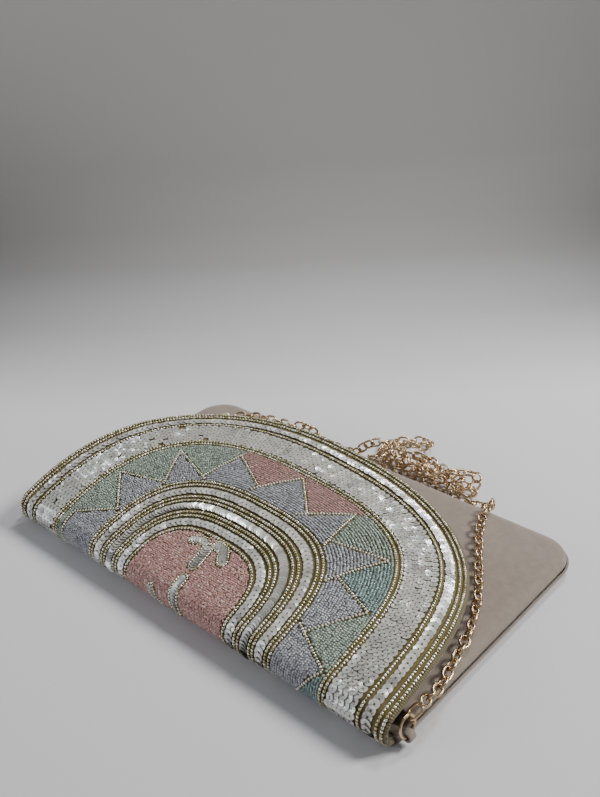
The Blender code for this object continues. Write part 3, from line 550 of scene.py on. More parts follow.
@dataclass(frozen=True)
class FlapForm:
    """Curved face of the flap and the fold, by place across and reach from the fold's line."""

    pouch_half: float = 0.125
    half: float = 0.1225
    reach: float = 0.144
    fold_y: float = -0.076
    roll: float = ROLL
    lift: float = math.radians(19.0)
    end: float = math.radians(-6.0)
    arch: float = POUCH_DEPTH * 1.276
    twist: float = 0.101
    droop: float = 0.0057
    rim_power: float = 2.36
    inner_power: float = 2.80
    power_change: float = 0.031
    narrowing: float = 1.1602
    start: float = 0.008004
    hinges: tuple[float, ...] = tuple(round(ROLL * math.radians(turn), 6) for turn in (-70, -30, 10, 50))
    row_steps: int = 400
    row_evening: float = 0.75

    @property
    def root(self) -> float:
        """Reach at which the bead rows start and end."""
        return self.hinges[0]

    def profile(self, reach: float, depth: float) -> tuple[float, float]:
        """Side view of the face.

        Args:
            reach: Length along the face from the fold's nearest line.
            depth: Distance under the bead tops.

        Returns:
            Distance from the fold's line, and height.
        """
        lift_reach = self.roll * (math.pi / 2 - self.lift)
        if reach <= lift_reach:
            slope = math.pi / 2 - reach / self.roll
            y = self.roll * (1.0 - math.sin(slope))
            z = self.roll * (1.0 + math.cos(slope))
        else:
            run = reach - lift_reach
            on_arch = min(run, self.arch * (self.lift - self.end))
            straight = run - on_arch
            slope = self.lift - on_arch / self.arch
            y = self.roll * (1.0 - math.sin(self.lift))
            z = self.roll * (1.0 + math.cos(self.lift))
            y += self.arch * (math.sin(self.lift) - math.sin(slope)) + straight * math.cos(slope)
            z += self.arch * (math.cos(slope) - math.cos(self.lift)) + straight * math.sin(slope)
        return y + depth * math.sin(slope), z - depth * math.cos(slope)

    def point(self, x: float, reach: float, depth: float = 0.0) -> Vector:
        """Point of the face at a place and a depth under the bead tops."""
        y, z = self.profile(reach, depth)
        run = max(reach - self.roll * (math.pi / 2 - self.lift), 0.0)
        side = x / self.pouch_half
        fall = self.twist * side * run + self.droop * side ** 2 * run / self.reach
        return Vector((x, self.fold_y + y, z - fall))

    def axes(self, x: float, reach: float) -> tuple[Vector, Vector, Vector]:
        """Directions across, along and out of the face at a place."""
        step = 0.2 * MM
        across = (self.point(x + step, reach) - self.point(x - step, reach)).normalized()
        along = (self.point(x, reach + step) - self.point(x, reach - step)).normalized()
        return across, along, across.cross(along).normalized()

    def outline(self, inward: float) -> tuple[float, float, float]:
        """Half width, reach and power of the outline a distance in from the rim."""
        change = clamp(inward / self.power_change)
        power = self.rim_power + (self.inner_power - self.rim_power) * change
        return self.half - inward, self.reach - inward * self.narrowing, power

    def body(self, reach: float) -> str:
        """Name of the body that carries the face at a reach."""
        return BODIES[sum(reach >= hinge for hinge in self.hinges)]

    def row(self, inward: float, root: float | None = None) -> list[Place]:
        """Places along a bead row, from its right end on the fold to its left end.

        Args:
            inward: Distance in from the rim.
            root: Reach at which the row starts and ends, or none for the fold's root.

        Returns:
            Places (x, reach), about half a millimetre apart.
        """
        half, reach, power = self.outline(inward)
        root = self.root if root is None else root
        legs = max(int((self.start - root) / (0.5 * MM)), 1)
        right = [(half, root + (self.start - root) * i / legs) for i in range(legs)]
        arc = []
        for i in range(self.row_steps + 1):
            turn = i / self.row_steps
            angle = math.pi * (turn - self.row_evening * math.sin(2 * math.pi * turn) / (2 * math.pi))
            cos_part, sin_part = math.cos(angle), max(math.sin(angle), 0.0)
            x = math.copysign(abs(cos_part) ** (2.0 / power), cos_part) * half
            arc.append((x, self.start + (reach - self.start) * sin_part ** (2.0 / power)))
        return right + arc + [(-x, v) for x, v in reversed(right)]


FORM = FlapForm()


def in_metres(places: Sequence[Place]) -> list[Place]:
    """Places that were given in millimetres."""
    return [(x * MM, v * MM) for x, v in places]


def moved(place: Place, angle: float, away: float) -> Place:
    """The place a distance away at an angle."""
    return place[0] + away * math.cos(angle), place[1] + away * math.sin(angle)


class Walk:
    """Finds places along a path by the length run to them."""

    def __init__(self, steps: Iterable[float]) -> None:
        """Adds up the lengths of the path's steps."""
        self.lengths = list(accumulate(steps, initial=0.0))
        self.step = 0

    def to(self, target: float) -> tuple[int, float]:
        """Goes on to a length, and returns the number of its step and the share of that step."""
        while self.step < len(self.lengths) - 2 and self.lengths[self.step + 1] < target:
            self.step += 1
        low, high = self.lengths[self.step:self.step + 2]
        return self.step, (target - low) / max(high - low, TINY)


class Mark(NamedTuple):
    """A place on a path with the path's heading there."""

    x: float
    reach: float
    heading: float


def pace(path: Sequence[Place], pitch: float, offset: float = 0.0, end_gap: float = 0.0) -> list[Mark]:
    """Walks a path in even steps.

    Args:
        path: Places along it.
        pitch: The wished step, which is fitted to the length.
        offset: Share of a step by which the first mark is late.
        end_gap: Length kept free at both ends.

    Returns:
        Marks with their headings.
    """
    walk = Walk(math.hypot(x1 - x0, v1 - v0) for (x0, v0), (x1, v1) in zip(path, path[1:]))
    whole = walk.lengths[-1]
    room = whole - 2 * end_gap
    count = max(1, round(room / pitch))
    marks = []
    for i in range(count):
        target = end_gap + room * (i + 0.5 + offset) / count
        if target > whole:
            break
        step, share = walk.to(target)
        (x0, v0), (x1, v1) = path[step], path[step + 1]
        marks.append(Mark(x0 + (x1 - x0) * share, v0 + (v1 - v0) * share, math.atan2(v1 - v0, x1 - x0)))
    return marks


def linked(name: str, data: Any) -> bpy.types.Object:
    """Makes an object of a mesh, a light or a camera and links it to the scene."""
    made = bpy.data.objects.new(name, data)
    bpy.context.scene.collection.objects.link(made)
    return made


def turns(count: int, late: float = 0.0) -> list[float]:
    """Even angles round a circle, late by a share of a step."""
    return [2 * math.pi * (i + late) / count for i in range(count)]


def wrapped(count: int, rows: int, base: int = 0, closed: bool = False) -> Faces:
    """Faces between rings of corners that follow each other.

    Args:
        count: Corners in a ring.
        rows: How many rings there are.
        base: Number of the first corner.
        closed: Whether the last ring meets the first.

    Returns:
        The faces.
    """
    faces: Faces = []
    for i in range(rows if closed else rows - 1):
        a, b = base + i * count, base + (i + 1) % rows * count
        faces += [(a + j, a + (j + 1) % count, b + (j + 1) % count, b + j) for j in range(count)]
    return faces


def quarter(steps: int) -> list[float]:
    """Even angles over a quarter circle."""
    return [math.pi / 2 * i / steps for i in range(steps + 1)]


def behind_fold(x: float, reach: float, z: float) -> Vector:
    """Point at a distance behind the fold's line."""
    return Vector((x, FORM.fold_y + reach, z))


def evenly(steps: int) -> list[float]:
    """Even places from -1 to 1, with a number of steps on each side of 0."""
    return [i / steps - 1.0 for i in range(2 * steps + 1)]


def mesh_object(name: str, corners: Sequence[Vector], faces: Sequence[Sequence[int]]) -> bpy.types.Object:
    """Makes a smooth-shaded object from corners and faces.

    Args:
        name: The object's name.
        corners: Points in the frame.
        faces: Corner numbers of each face.

    Returns:
        The linked object.
    """
    mesh = bpy.data.meshes.new(name)
    mesh.from_pydata([tuple(c) for c in corners], [], [tuple(f) for f in faces])
    bm = bmesh.new()
    bm.from_mesh(mesh)
    bmesh.ops.recalc_face_normals(bm, faces=bm.faces)
    bm.to_mesh(mesh)
    bm.free()
    mesh.shade_smooth()
    return linked(name, mesh)


def shell(name: str, outer: Grid, inner: Grid) -> bpy.types.Object:
    """Closed sheet between two grids of points of the same size.

    Args:
        name: The object's name.
        outer: Rows of points on the outer face.
        inner: Rows of points on the inner face.

    Returns:
        The linked object.
    """
    rows, cols = len(outer), len(outer[0])
    corners = [p for grid in (outer, inner) for row in grid for p in row]
    back = rows * cols
    faces: Faces = []
    for i in range(rows - 1):
        for a in range(i * cols, (i + 1) * cols - 1):
            quad = (a, a + 1, a + cols + 1, a + cols)
            faces += [quad, tuple(back + q for q in reversed(quad))]
    rim = [*range(cols), *range(2 * cols - 1, back, cols)]
    rim += [*range(back - 2, back - cols - 1, -1), *range((rows - 2) * cols, 0, -cols)]
    for first, second in zip(rim, rim[1:] + rim[:1]):
        faces.append((second, first, back + first, back + second))
    made = mesh_object(name, corners, faces)
    made.data.set_sharp_from_angle(angle=math.radians(50.0))
    return made


def tube(name: str, runs: Sequence[Sequence[Vector]], radii: Place, sides: int, wrap: float) -> bpy.types.Object:
    """Round cords with closed ends and a UV map that counts the thread's turns.

    Args:
        name: The object's name.
        runs: Points of each cord's middle line.
        radii: The cords' radius sideways and upwards.
        sides: Sides round the cord.
        wrap: Length of one turn of the thread.

    Returns:
        The linked object.
    """
    corners: list[Vector] = []
    faces: Faces = []
    places: list[Place] = []
    for points in runs:
        base = len(corners)
        run = 0.0
        for i, point in enumerate(points):
            run += (point - points[i - 1]).length if i else 0.0
            along = (points[min(i + 1, len(points) - 1)] - points[max(i - 1, 0)]).normalized()
            side = along.cross(UP)
            side = side.normalized() if side.length > UPRIGHT else Vector((1.0, 0.0, 0.0))
            up = side.cross(along).normalized()
            for j, angle in enumerate(turns(sides)):
                corners.append(point + side * math.cos(angle) * radii[0] + up * math.sin(angle) * radii[1])
                places.append((run / wrap, j / sides))
        faces += wrapped(sides, len(points), base)
        faces += [tuple(range(base + sides - 1, base - 1, -1)), tuple(range(len(corners) - sides, len(corners)))]
    made = mesh_object(name, corners, faces)
    layer = made.data.uv_layers.new(name="wrap")
    for loop in made.data.loops:
        layer.data[loop.index].uv = places[loop.vertex_index]
    return made


def dress(piece: bpy.types.Object, finish: bpy.types.Material) -> None:
    """Gives an object one material."""
    piece.data.materials.clear()
    piece.data.materials.append(finish)


def finished(
    piece: bpy.types.Object, body: str, slot: Slot, finishes: Finishes, stands_for: Sequence[str] = ()
) -> bpy.types.Object:
    """Gives a piece the material of its slot and its body, and reports it.

    Args:
        piece: The object.
        body: The body that it rides on.
        slot: Its material slot.
        finishes: The materials.
        stands_for: CAD nodes that it replaces.

    Returns:
        The piece.
    """
    dress(piece, finishes[slot])
    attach(piece, body)
    if stands_for:
        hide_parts(*stands_for)
    LOG.info("%s on %s: %d faces", piece.name, body, len(piece.data.polygons))
    return piece


# ------------------------------------------------------------ sewn trimmings


class Trim(Enum):
    """Small things that are sewn on."""

    BEAD = "bead"
    SEQUIN = "sequin"
    LINK = "link"


class Stitch(NamedTuple):
    """One sewn trim: where it sits, how it is turned and how it looks."""

    place: Vector
    out: Vector
    along: Vector
    size: float
    tint: float
    hue: float


def ring_mesh(name: str, rings: Sequence[Spot], sides: int) -> bpy.types.Object:
    """Shape turned round an axis with both ends closed.

    Args:
        name: The object's name.
        rings: Place on the axis, radius and darkening (1 full colour, 0 dark as a hole or as painted shade) of each
            ring.
        sides: Sides round the axis, which is Z.

    Returns:
        The object.
    """
    corners = [
        Vector((radius * math.cos(angle), radius * math.sin(angle), height))
        for height, radius, _ in rings for angle in turns(sides)]
    ends = [tuple(reversed(range(sides))), tuple(range(len(corners) - sides, len(corners)))]
    made = mesh_object(name, corners, wrapped(sides, len(rings)) + ends)
    crest = made.data.attributes.new("crest", "FLOAT", "POINT")
    crest.data.foreach_set("value", [shade for _, _, shade in rings for _ in range(sides)])
    return made


class TrimSetter:
    """Sets one small trim at every stitch of a piece, through a tree of geometry nodes."""

    def __init__(self) -> None:
        """Builds the tree and the trims' shapes."""
        self.shapes = {Trim.BEAD: self._bead(), Trim.SEQUIN: self._sequin(), Trim.LINK: self._link()}
        self.sockets: dict[str, str] = {}
        self.tree = self._grow()

    @staticmethod
    def _bead() -> bpy.types.Object:
        """Seed bead of unit size with its hole along X."""
        # The third value darkens the ends: the hole itself, and painted shade on the bead's rounded ends.
        rings = (
            (-0.5, 0.2, 0.0), (-0.42, 0.4, 0.35), (-0.18, 0.5, 1.0),
            (0.18, 0.5, 1.0), (0.42, 0.4, 0.35), (0.5, 0.2, 0.0))
        made = ring_mesh("bead_shape", rings, sides=7)
        made.data.transform(Matrix.Rotation(math.pi / 2, 4, "Y"))
        return made

    @staticmethod
    def _sequin() -> bpy.types.Object:
        """Shallow cup sequin of unit width: a flat middle with its hole along Z, and a raised rim."""
        # The third value darkens the hole, and paints shade on a faint ring, a dark line at the rim and the
        # underside.
        rings = (
            (0.0, 0.085, 0.0), (0.002, 0.13, 1.0), (0.002, 0.25, 0.85), (0.005, 0.28, 1.0),
            (0.018, 0.45, 1.0), (0.02, 0.5, 0.05), (0.004, 0.5, 0.0), (-0.016, 0.28, 0.3), (-0.018, 0.075, 0.0))
        made = ring_mesh("sequin_shape", rings, sides=14)
        made.data.set_sharp_from_angle(angle=math.radians(28.0))
        return made

    @staticmethod
    def _link() -> bpy.types.Object:
        """Oval chain link, 7.3 mm long along X and 5.5 mm wide."""
        wire, half_run, half_width, sides, steps = 0.66 * MM, 0.9 * MM, 2.09 * MM, 6, 16
        corners = []
        for angle in turns(steps, 0.5):
            across = Vector((math.cos(angle), math.sin(angle), 0.0))
            middle = Vector((math.copysign(half_run, across.x), 0.0, 0.0)) + across * half_width
            for turn in turns(sides):
                corners.append(middle + across * math.cos(turn) * wire + Vector((0, 0, math.sin(turn) * wire)))
        return mesh_object("link_shape", corners, wrapped(sides, steps, closed=True))

    def _grow(self) -> bpy.types.NodeTree:
        """Builds the tree of geometry nodes with its named inputs."""
        tree = bpy.data.node_groups.new("set_trims", "GeometryNodeTree")
        tree.is_modifier = True
        face = tree.interface
        face.new_socket("Geometry", in_out="OUTPUT", socket_type="NodeSocketGeometry")
        for name, kind in (
                ("Geometry", "Geometry"), ("Trim", "Object"), ("Length", "Float"), ("Width", "Float"),
                ("Height", "Float"), ("Size play", "Float"), ("Turn play", "Float"), ("Seed", "Int"),
                ("Finish", "Material")):
            made = face.new_socket(name, in_out="INPUT", socket_type="NodeSocket" + kind)
            self.sockets[name] = made.identifier
        desk = Desk(tree)
        source = desk.node("NodeGroupInput").outputs
        vector, number = {"data_type": "FLOAT_VECTOR"}, {"data_type": "FLOAT"}

        def grow(kind: str, values: dict[Any, Any], settings: dict[str, Any] | None = None) -> bpy.types.NodeSocket:
            """Adds a node and returns its first output in use."""
            outputs = desk.node(kind, settings, values).outputs
            return next(socket for socket in outputs if socket.enabled)

        def work_out(operation: str, first: Any, second: Any) -> bpy.types.NodeSocket:
            """Adds a Math node on two numbers."""
            return grow("ShaderNodeMath", {0: first, 1: second}, {"operation": operation})

        out, along, size = (
            grow("GeometryNodeInputNamedAttribute", {"Name": name}, kind)
            for name, kind in (("out", vector), ("along", vector), ("size", number)))
        turn = grow(
            "FunctionNodeAxesToRotation", {"Primary Axis": out, "Secondary Axis": along},
            {"primary_axis": "Z", "secondary_axis": "X"})
        low = work_out("MULTIPLY", source["Turn play"], -1.0)
        play = grow("FunctionNodeRandomValue", {0: low, 1: source["Turn play"], "Seed": source["Seed"]}, vector)
        wobble = grow("FunctionNodeEulerToRotation", {"Euler": play})
        turned = grow(
            "FunctionNodeRotateRotation", {"Rotation": turn, "Rotate By": wobble}, {"rotation_space": "LOCAL"})
        shrink = work_out("SUBTRACT", 1.0, source["Size play"])
        grown = grow("FunctionNodeRandomValue", {2: shrink, 3: 1.0, "Seed": source["Seed"]}, number)
        shape = grow(
            "ShaderNodeCombineXYZ", {"X": source["Length"], "Y": source["Width"], "Z": source["Height"]})
        sized = grow(
            "ShaderNodeVectorMath", {"Vector": shape, "Scale": work_out("MULTIPLY", size, grown)},
            {"operation": "SCALE"})
        trim = desk.node(
            "GeometryNodeObjectInfo", {"transform_space": "ORIGINAL"}, {"Object": source["Trim"]}).outputs["Geometry"]
        flow = grow(
            "GeometryNodeInstanceOnPoints",
            {"Points": source["Geometry"], "Instance": trim, "Rotation": turned, "Scale": sized})
        for name in ("out", "along", "size"):
            flow = grow("GeometryNodeRemoveAttribute", {"Geometry": flow, "Name": name})
        flow = grow("GeometryNodeRealizeInstances", {"Geometry": flow})
        flow = grow("GeometryNodeSetMaterial", {"Geometry": flow, "Material": source["Finish"]})
        desk.node("NodeGroupOutput", None, {"Geometry": flow})
        return tree

    def sew(
        self, name: str, trim: Trim, stitches: Sequence[Stitch], finish: bpy.types.Material,
        size: Spot, play: Place = (0.0, 0.0), seed: int = 1,
    ) -> bpy.types.Object:
        """Makes one plain mesh of trims.

        Args:
            name: The piece's name.
            trim: Which shape is set.
            stitches: Where each one sits.
            finish: Its material.
            size: Length, width and height of the trim.
            play: Random share of size and random turn in radians.
            seed: Start of the random numbers.

        Returns:
            The piece.
        """
        mesh = bpy.data.meshes.new(name + "_stitches")
        mesh.from_pydata([tuple(s.place) for s in stitches], [], [])
        for key in ("out", "along"):
            data = mesh.attributes.new(key, "FLOAT_VECTOR", "POINT").data
            data.foreach_set("vector", [part for s in stitches for part in getattr(s, key)])
        for key in ("size", "tint", "hue"):
            mesh.attributes.new(key, "FLOAT", "POINT").data.foreach_set("value", [getattr(s, key) for s in stitches])
        carrier = linked(name + "_stitches", mesh)
        modifier = carrier.modifiers.new("set", "NODES")
        modifier.node_group = self.tree
        for key, value in (
                ("Trim", self.shapes[trim]), ("Length", size[0]), ("Width", size[1]), ("Height", size[2]),
                ("Size play", play[0]), ("Turn play", play[1]), ("Seed", seed), ("Finish", finish)):
            modifier[self.sockets[key]] = value
        bpy.context.view_layer.update()
        graph = bpy.context.evaluated_depsgraph_get()
        made_mesh = bpy.data.meshes.new_from_object(
            carrier.evaluated_get(graph), preserve_all_data_layers=True, depsgraph=graph)
        made_mesh.name = name
        made = linked(name, made_mesh)
        carrier.modifiers.clear()
        bpy.data.objects.remove(carrier)
        return made

    def put_away(self) -> None:
        """Takes the trims' shapes out of the file."""
        for shape in self.shapes.values():
            bpy.data.objects.remove(shape)


@dataclass
class Beadwork:
    """Collects the stitches of the flap's face and sews them, body by body.

    Play is the random share of a trim's size and its random turn.
    """

    finishes: Finishes
    setter: TrimSetter
    gold_size: Spot = (1.6 * MM, 1.54 * MM, 1.4 * MM)
    fill_size: Spot = (1.34 * MM, 1.5 * MM, 1.1 * MM)
    gold_pitch: float = 1.65 * MM
    bead_depth: float = 0.7 * MM
    sequin_width: float = 4.2 * MM
    sequin_depth: float = 0.6 * MM
    bead_play: Place = (0.08, math.radians(7.0))
    sequin_play: Place = (0.04, math.radians(3.0))
    depth_play: float = 0.06 * MM
    seed: int = 7
    work: dict[tuple[str, str, Slot], list[Stitch]] = field(default_factory=dict)

    def __post_init__(self) -> None:
        """Starts the random numbers."""
        self.chance = random.Random(self.seed)

    def play(self, most: float) -> float:
        """A random number from -most to most."""
        return self.chance.uniform(-most, most)

    def add(
        self, band: str, slot: Slot, mark: Mark, depth: float, size: float = 1.0,
        lean: Place = (0.0, 0.0), tint: float | None = None, hue: Hue = Hue.GREY,
    ) -> None:
        """Adds one stitch.

        Args:
            band: The band that it belongs to.
            slot: Its material slot, which also tells a bead from a sequin.
            mark: Its place and heading.
            depth: How far its middle is under the bead tops.
            size: Share of the usual size.
            lean: How far its face leans along and across its heading, as slopes.
            tint: Its place on the finish's ramp, or none for a random one.
            hue: Its colour where the finish has several.
        """
        across, away, out = FORM.axes(mark.x, mark.reach)
        heading = across * math.cos(mark.heading) + away * math.sin(mark.heading)
        side = out.cross(heading)
        leaning = (out + heading * lean[0] + side * lean[1]).normalized()
        tint = self.chance.random() if tint is None else tint
        stitch = Stitch(FORM.point(mark.x, mark.reach, depth), leaning, heading, size, tint, hue.value)
        body = FORM.body(mark.reach)
        key = (band if body == "flap" else body, body, slot)
        self.work.setdefault(key, []).append(stitch)

    def bead_row(
        self, band: str, slot: Slot, path: Sequence[Place], pitch: float | None = None,
        depth: float | None = None, hue: Hue = Hue.GREY, shine: float = 0.0, size: float = 1.0,
    ) -> None:
        """Sews beads along a path, end to end.

        Args:
            band: The band that they belong to.
            slot: Their material slot.
            path: Places along the row.
            pitch: Step from bead to bead, or none for the gold beads' own.
            depth: Depth of their middles, or none for the usual one.
            hue: Their colour.
            shine: Added to their random tint.
            size: Share of the usual size.
        """
        depth = self.bead_depth if depth is None else depth
        for mark in pace(path, pitch or self.gold_pitch):
            tint = clamp(self.chance.random() + shine)
            self.add(band, slot, mark, depth + self.play(self.depth_play), size, (0.0, 0.0), tint, hue)

    def sew_all(self, stands_for: dict[str, str]) -> None:
        """Turns the stitches into pieces.

        Args:
            stands_for: For each piece's name, the CAD node that it replaces.
        """
        for number, ((band, body, slot), stitches) in enumerate(self.work.items()):
            name = f"{band}_{slot.value}"
            size = self.gold_size if slot is Slot.GOLD else self.fill_size
            trim, play = Trim.BEAD, self.bead_play
            if slot is Slot.SEQUIN:
                size = (self.sequin_width,) * 3
                trim, play = Trim.SEQUIN, self.sequin_play
            piece = self.setter.sew(name, trim, stitches, self.finishes[slot], size, play, self.seed + number)
            nodes = [stands_for[name]] if name in stands_for else []
            finished(piece, body, slot, self.finishes, nodes)


@dataclass
class Band:
    """One band of the flap's pattern, with the name of the CAD node that it stands for."""

    band: str
    slot: ClassVar[Slot] = Slot.GOLD

    def sew(self, work: Beadwork) -> None:
        """Adds the band's stitches to the work.

        Args:
            work: The beadwork.
        """
        raise NotImplementedError


@dataclass
class GoldRows(Band):
    """One or two rows of gold beads that follow the flap's outline."""

    places: tuple[float, ...]

    def sew(self, work: Beadwork) -> None:
        """Adds the rows to the work.

        Args:
            work: The beadwork.
        """
        for place in self.places:
            work.bead_row(self.band, Slot.GOLD, FORM.row(place))


@dataclass
class SequinRow(Band):
    """One row of sequins that overlap along the flap's outline.

    The shakes are the most by which a sequin is out of place, in its turn and in its lean.
    """

    slot = Slot.SEQUIN
    middle: float
    disc: float
    pitch: float
    slope: float
    shake: float = 0.15 * MM
    turn_shake: float = 0.12
    lean_shake: Place = (0.05, 0.08)

    def sew(self, work: Beadwork) -> None:
        """Adds the row to the work.

        Args:
            work: The beadwork.
        """
        size = self.disc / work.sequin_width
        for mark in pace(FORM.row(self.middle), self.pitch):
            x, reach = mark.x + work.play(self.shake), mark.reach + work.play(self.shake)
            turned = Mark(x, reach, mark.heading + work.play(self.turn_shake))
            lean = (self.slope + work.play(self.lean_shake[0]), work.play(self.lean_shake[1]))
            work.add(self.band, Slot.SEQUIN, turned, work.sequin_depth, size, lean)


@dataclass
class SequinColumns(Band):
    """Wide band of short sequin columns that run from its inner to its outer edge.

    Some sequins hang loose. The band is darker and has gaps at its left end, and a row across closes it at
    its right end.
    """

    slot = Slot.SEQUIN
    inward: float
    width: float
    count: int = 5
    pitch: float = 3.4 * MM
    overhang: float = 0.3 * MM
    slope: float = 0.12
    tilt: float = 0.035
    column_shake: float = 0.06
    firm: float = 0.04
    loose: float = 0.18
    loose_share: float = 0.22
    # Left end of the band, where the sequins are darker and some are left out.
    dark_end_x: float = -60.0 * MM
    dark_end_tint: float = 0.6
    dark_end_gaps: float = 0.06
    opening: Place = (-0.4 * MM, 3.4 * MM)
    cross_reach: float = 1.2 * MM
    cross_rise: float = 0.2 * MM
    cross_slope: float = 0.3
    cross_shake: float = 0.08
    cross_tint: Place = (0.6, 1.0)

    def sew(self, work: Beadwork) -> None:
        """Adds the columns to the work.

        Args:
            work: The beadwork.
        """
        span = self.width - work.sequin_width + self.overhang
        for mark in pace(FORM.row(self.inward + self.width / 2), self.pitch):
            outward = mark.heading - math.pi / 2
            step = span / (self.count - 1) * (1.0 + (FORM.narrowing - 1.0) * abs(math.sin(outward)))
            heading = outward + work.play(self.column_shake)
            column_tint = work.chance.random()
            for number in range(self.count):
                x, reach = moved((mark.x, mark.reach), heading, (number - (self.count - 1) / 2) * step)
                shake = self.loose if work.chance.random() < self.loose_share else self.firm
                lean = (work.play(shake) - self.slope, self.tilt + work.play(shake))
                tint = 0.5 * column_tint + 0.5 * work.chance.random()
                gone = x > 0.0 and self.opening[0] < reach < self.opening[1]
                # Left end: darker sequins, lower on the ramp, and a few left out.
                if x < self.dark_end_x:
                    tint *= self.dark_end_tint
                    gone = work.chance.random() < self.dark_end_gaps
                if not gone:
                    work.add(
                        self.band, Slot.SEQUIN, Mark(x, reach, outward), work.sequin_depth, 1.0, lean, tint)
        middle = FORM.half - self.inward - self.width / 2
        for number in range(self.count + 1):
            place = Mark(middle + (number / self.count - 0.5) * span, self.cross_reach, 0.0)
            lean = (self.cross_slope, work.play(self.cross_shake))
            work.add(
                self.band, Slot.SEQUIN, place, work.sequin_depth - self.cross_rise, 1.0, lean,
                work.chance.uniform(*self.cross_tint))


def side_of(point: Place, start: Place, end: Place) -> float:
    """How far a point lies to the left of a line from start to end."""
    run = (end[0] - start[0], end[1] - start[1])
    return (run[0] * (point[1] - start[1]) - run[1] * (point[0] - start[0])) / math.hypot(*run)


def line_distance(point: Place, start: Place, end: Place) -> float:
    """Distance from a point to a line that has ends."""
    run = (end[0] - start[0], end[1] - start[1])
    square = run[0] ** 2 + run[1] ** 2
    share = clamp(((point[0] - start[0]) * run[0] + (point[1] - start[1]) * run[1]) / max(square, TINY ** 2))
    return math.hypot(point[0] - start[0] - run[0] * share, point[1] - start[1] - run[1] * share)


class Wedge(NamedTuple):
    """One triangle of colour, between a line that is whole and one that starts some way along it.

    Holds its foot, the share of the whole line at which the other starts, whether the first line is
    the whole one, whether the whole one is silver, and the triangle's colour.
    """

    foot: Place
    start: float
    first_whole: bool
    whole_silver: bool
    hue: Hue


@dataclass
class ZigzagBand(Band):
    """Band of bead triangles in several colours, with silver and gold lines between them."""

    slot = Slot.ZIGZAG
    inward: float
    width: float
    tips: tuple[Place, ...] = (
        (-84.5, 15.0), (-83.0, 46.5), (-68.9, 77.2), (-40.5, 94.6), (-3.0, 101.8),
        (36.0, 96.6), (69.5, 79.0), (83.0, 46.5), (86.6, 11.5))
    inner: tuple[Wedge, ...] = (
        Wedge((-62.5, 27.0), 0.04, False, False, Hue.GREEN), Wedge((-55.0, 52.3), 0.06, False, True, Hue.GREEN),
        Wedge((-39.5, 67.3), 0.1, True, False, Hue.GREEN), Wedge((-15.5, 75.8), 0.16, False, True, Hue.PINK),
        Wedge((15.0, 75.5), 0.2, False, True, Hue.PINK), Wedge((40.7, 66.8), 0.16, True, False, Hue.GREEN),
        Wedge((56.0, 49.3), 0.2, True, True, Hue.TEAL), Wedge((62.5, 25.0), 0.2, False, False, Hue.GREEN))
    ends: tuple[Place, Place] = ((-83.0, -11.0), (73.5, -9.0))
    row_step: float = 1.3 * MM
    bead_step: float = 1.2 * MM
    row_shift: float = 0.25
    line_gap: float = 1.0 * MM
    shake: float = 0.2 * MM
    turn_shake: float = 0.3
    sink: Place = (0.05 * MM, 0.25 * MM)
    line_pitch: float = 1.5 * MM
    line_rise: float = 0.2 * MM
    line_size: float = 0.86
    silver_shine: float = 0.3
    gold_shine: float = 0.2

    def __post_init__(self) -> None:
        """Works out the lines and the wedges of colour."""
        tips = in_metres(self.tips)
        self.lines: list[tuple[Place, Place, Hue]] = []
        self.wedges: list[tuple[Place, Place, Place, Hue]] = []
        feet = in_metres([wedge.foot for wedge in self.inner])
        for wedge, foot, first, second in zip(self.inner, feet, tips, tips[1:]):
            whole, short = (first, second) if wedge.first_whole else (second, first)
            apex = (foot[0] + (whole[0] - foot[0]) * wedge.start, foot[1] + (whole[1] - foot[1]) * wedge.start)
            metals = (Hue.SILVER, Hue.GREY) if wedge.whole_silver else (Hue.GREY, Hue.SILVER)
            self.lines += [(foot, whole, metals[0]), (apex, short, metals[1])]
            self.wedges.append((apex, first, second, wedge.hue))
        for tip, end in zip((tips[0], tips[-1]), in_metres(self.ends)):
            self.lines.append((end, tip, Hue.SILVER))
        self.left_end, self.right_end = self.lines[-2][:2], self.lines[-1][:2]

    def colour_at(self, point: Place) -> Hue:
        """Colour of the triangle that a place lies in."""
        if point[0] < 0.0 and side_of(point, *self.left_end) > 0.0 and point[1] < self.left_end[1][1]:
            return Hue.GREEN
        if point[0] > 0.0 and side_of(point, *self.right_end) < 0.0 and point[1] < self.right_end[1][1]:
            return Hue.TEAL
        for apex, first, second, hue in self.wedges:
            if side_of(point, apex, first) < 0.0 < side_of(point, apex, second):
                return hue
        return Hue.GREY

    def sew(self, work: Beadwork) -> None:
        """Adds the fill and the lines to the work.

        Args:
            work: The beadwork.
        """
        count = round(self.width / self.row_step)
        for number in range(count):
            inward = self.inward + self.width * (number + 0.5) / count
            for mark in pace(FORM.row(inward), self.bead_step, self.row_shift * (number % 2)):
                point = (mark.x, mark.reach)
                if min(line_distance(point, a, b) for a, b, _ in self.lines) < self.line_gap:
                    continue
                hue = self.colour_at(point)
                shaken = Mark(
                    mark.x + work.play(self.shake), mark.reach + work.play(self.shake),
                    mark.heading + work.play(self.turn_shake))
                work.add(
                    self.band if hue is Hue.GREY else self.band + "_colours", Slot.ZIGZAG, shaken,
                    work.bead_depth + work.chance.uniform(*self.sink), hue=hue)
        for first, second, hue in self.lines:
            slot, shine = Slot.GOLD, self.gold_shine
            if hue is Hue.SILVER:
                slot, shine = Slot.ZIGZAG, self.silver_shine
            work.bead_row(
                self.band + "_lines", slot, (first, second), self.line_pitch, work.bead_depth - self.line_rise,
                Hue.SILVER, shine, self.line_size)


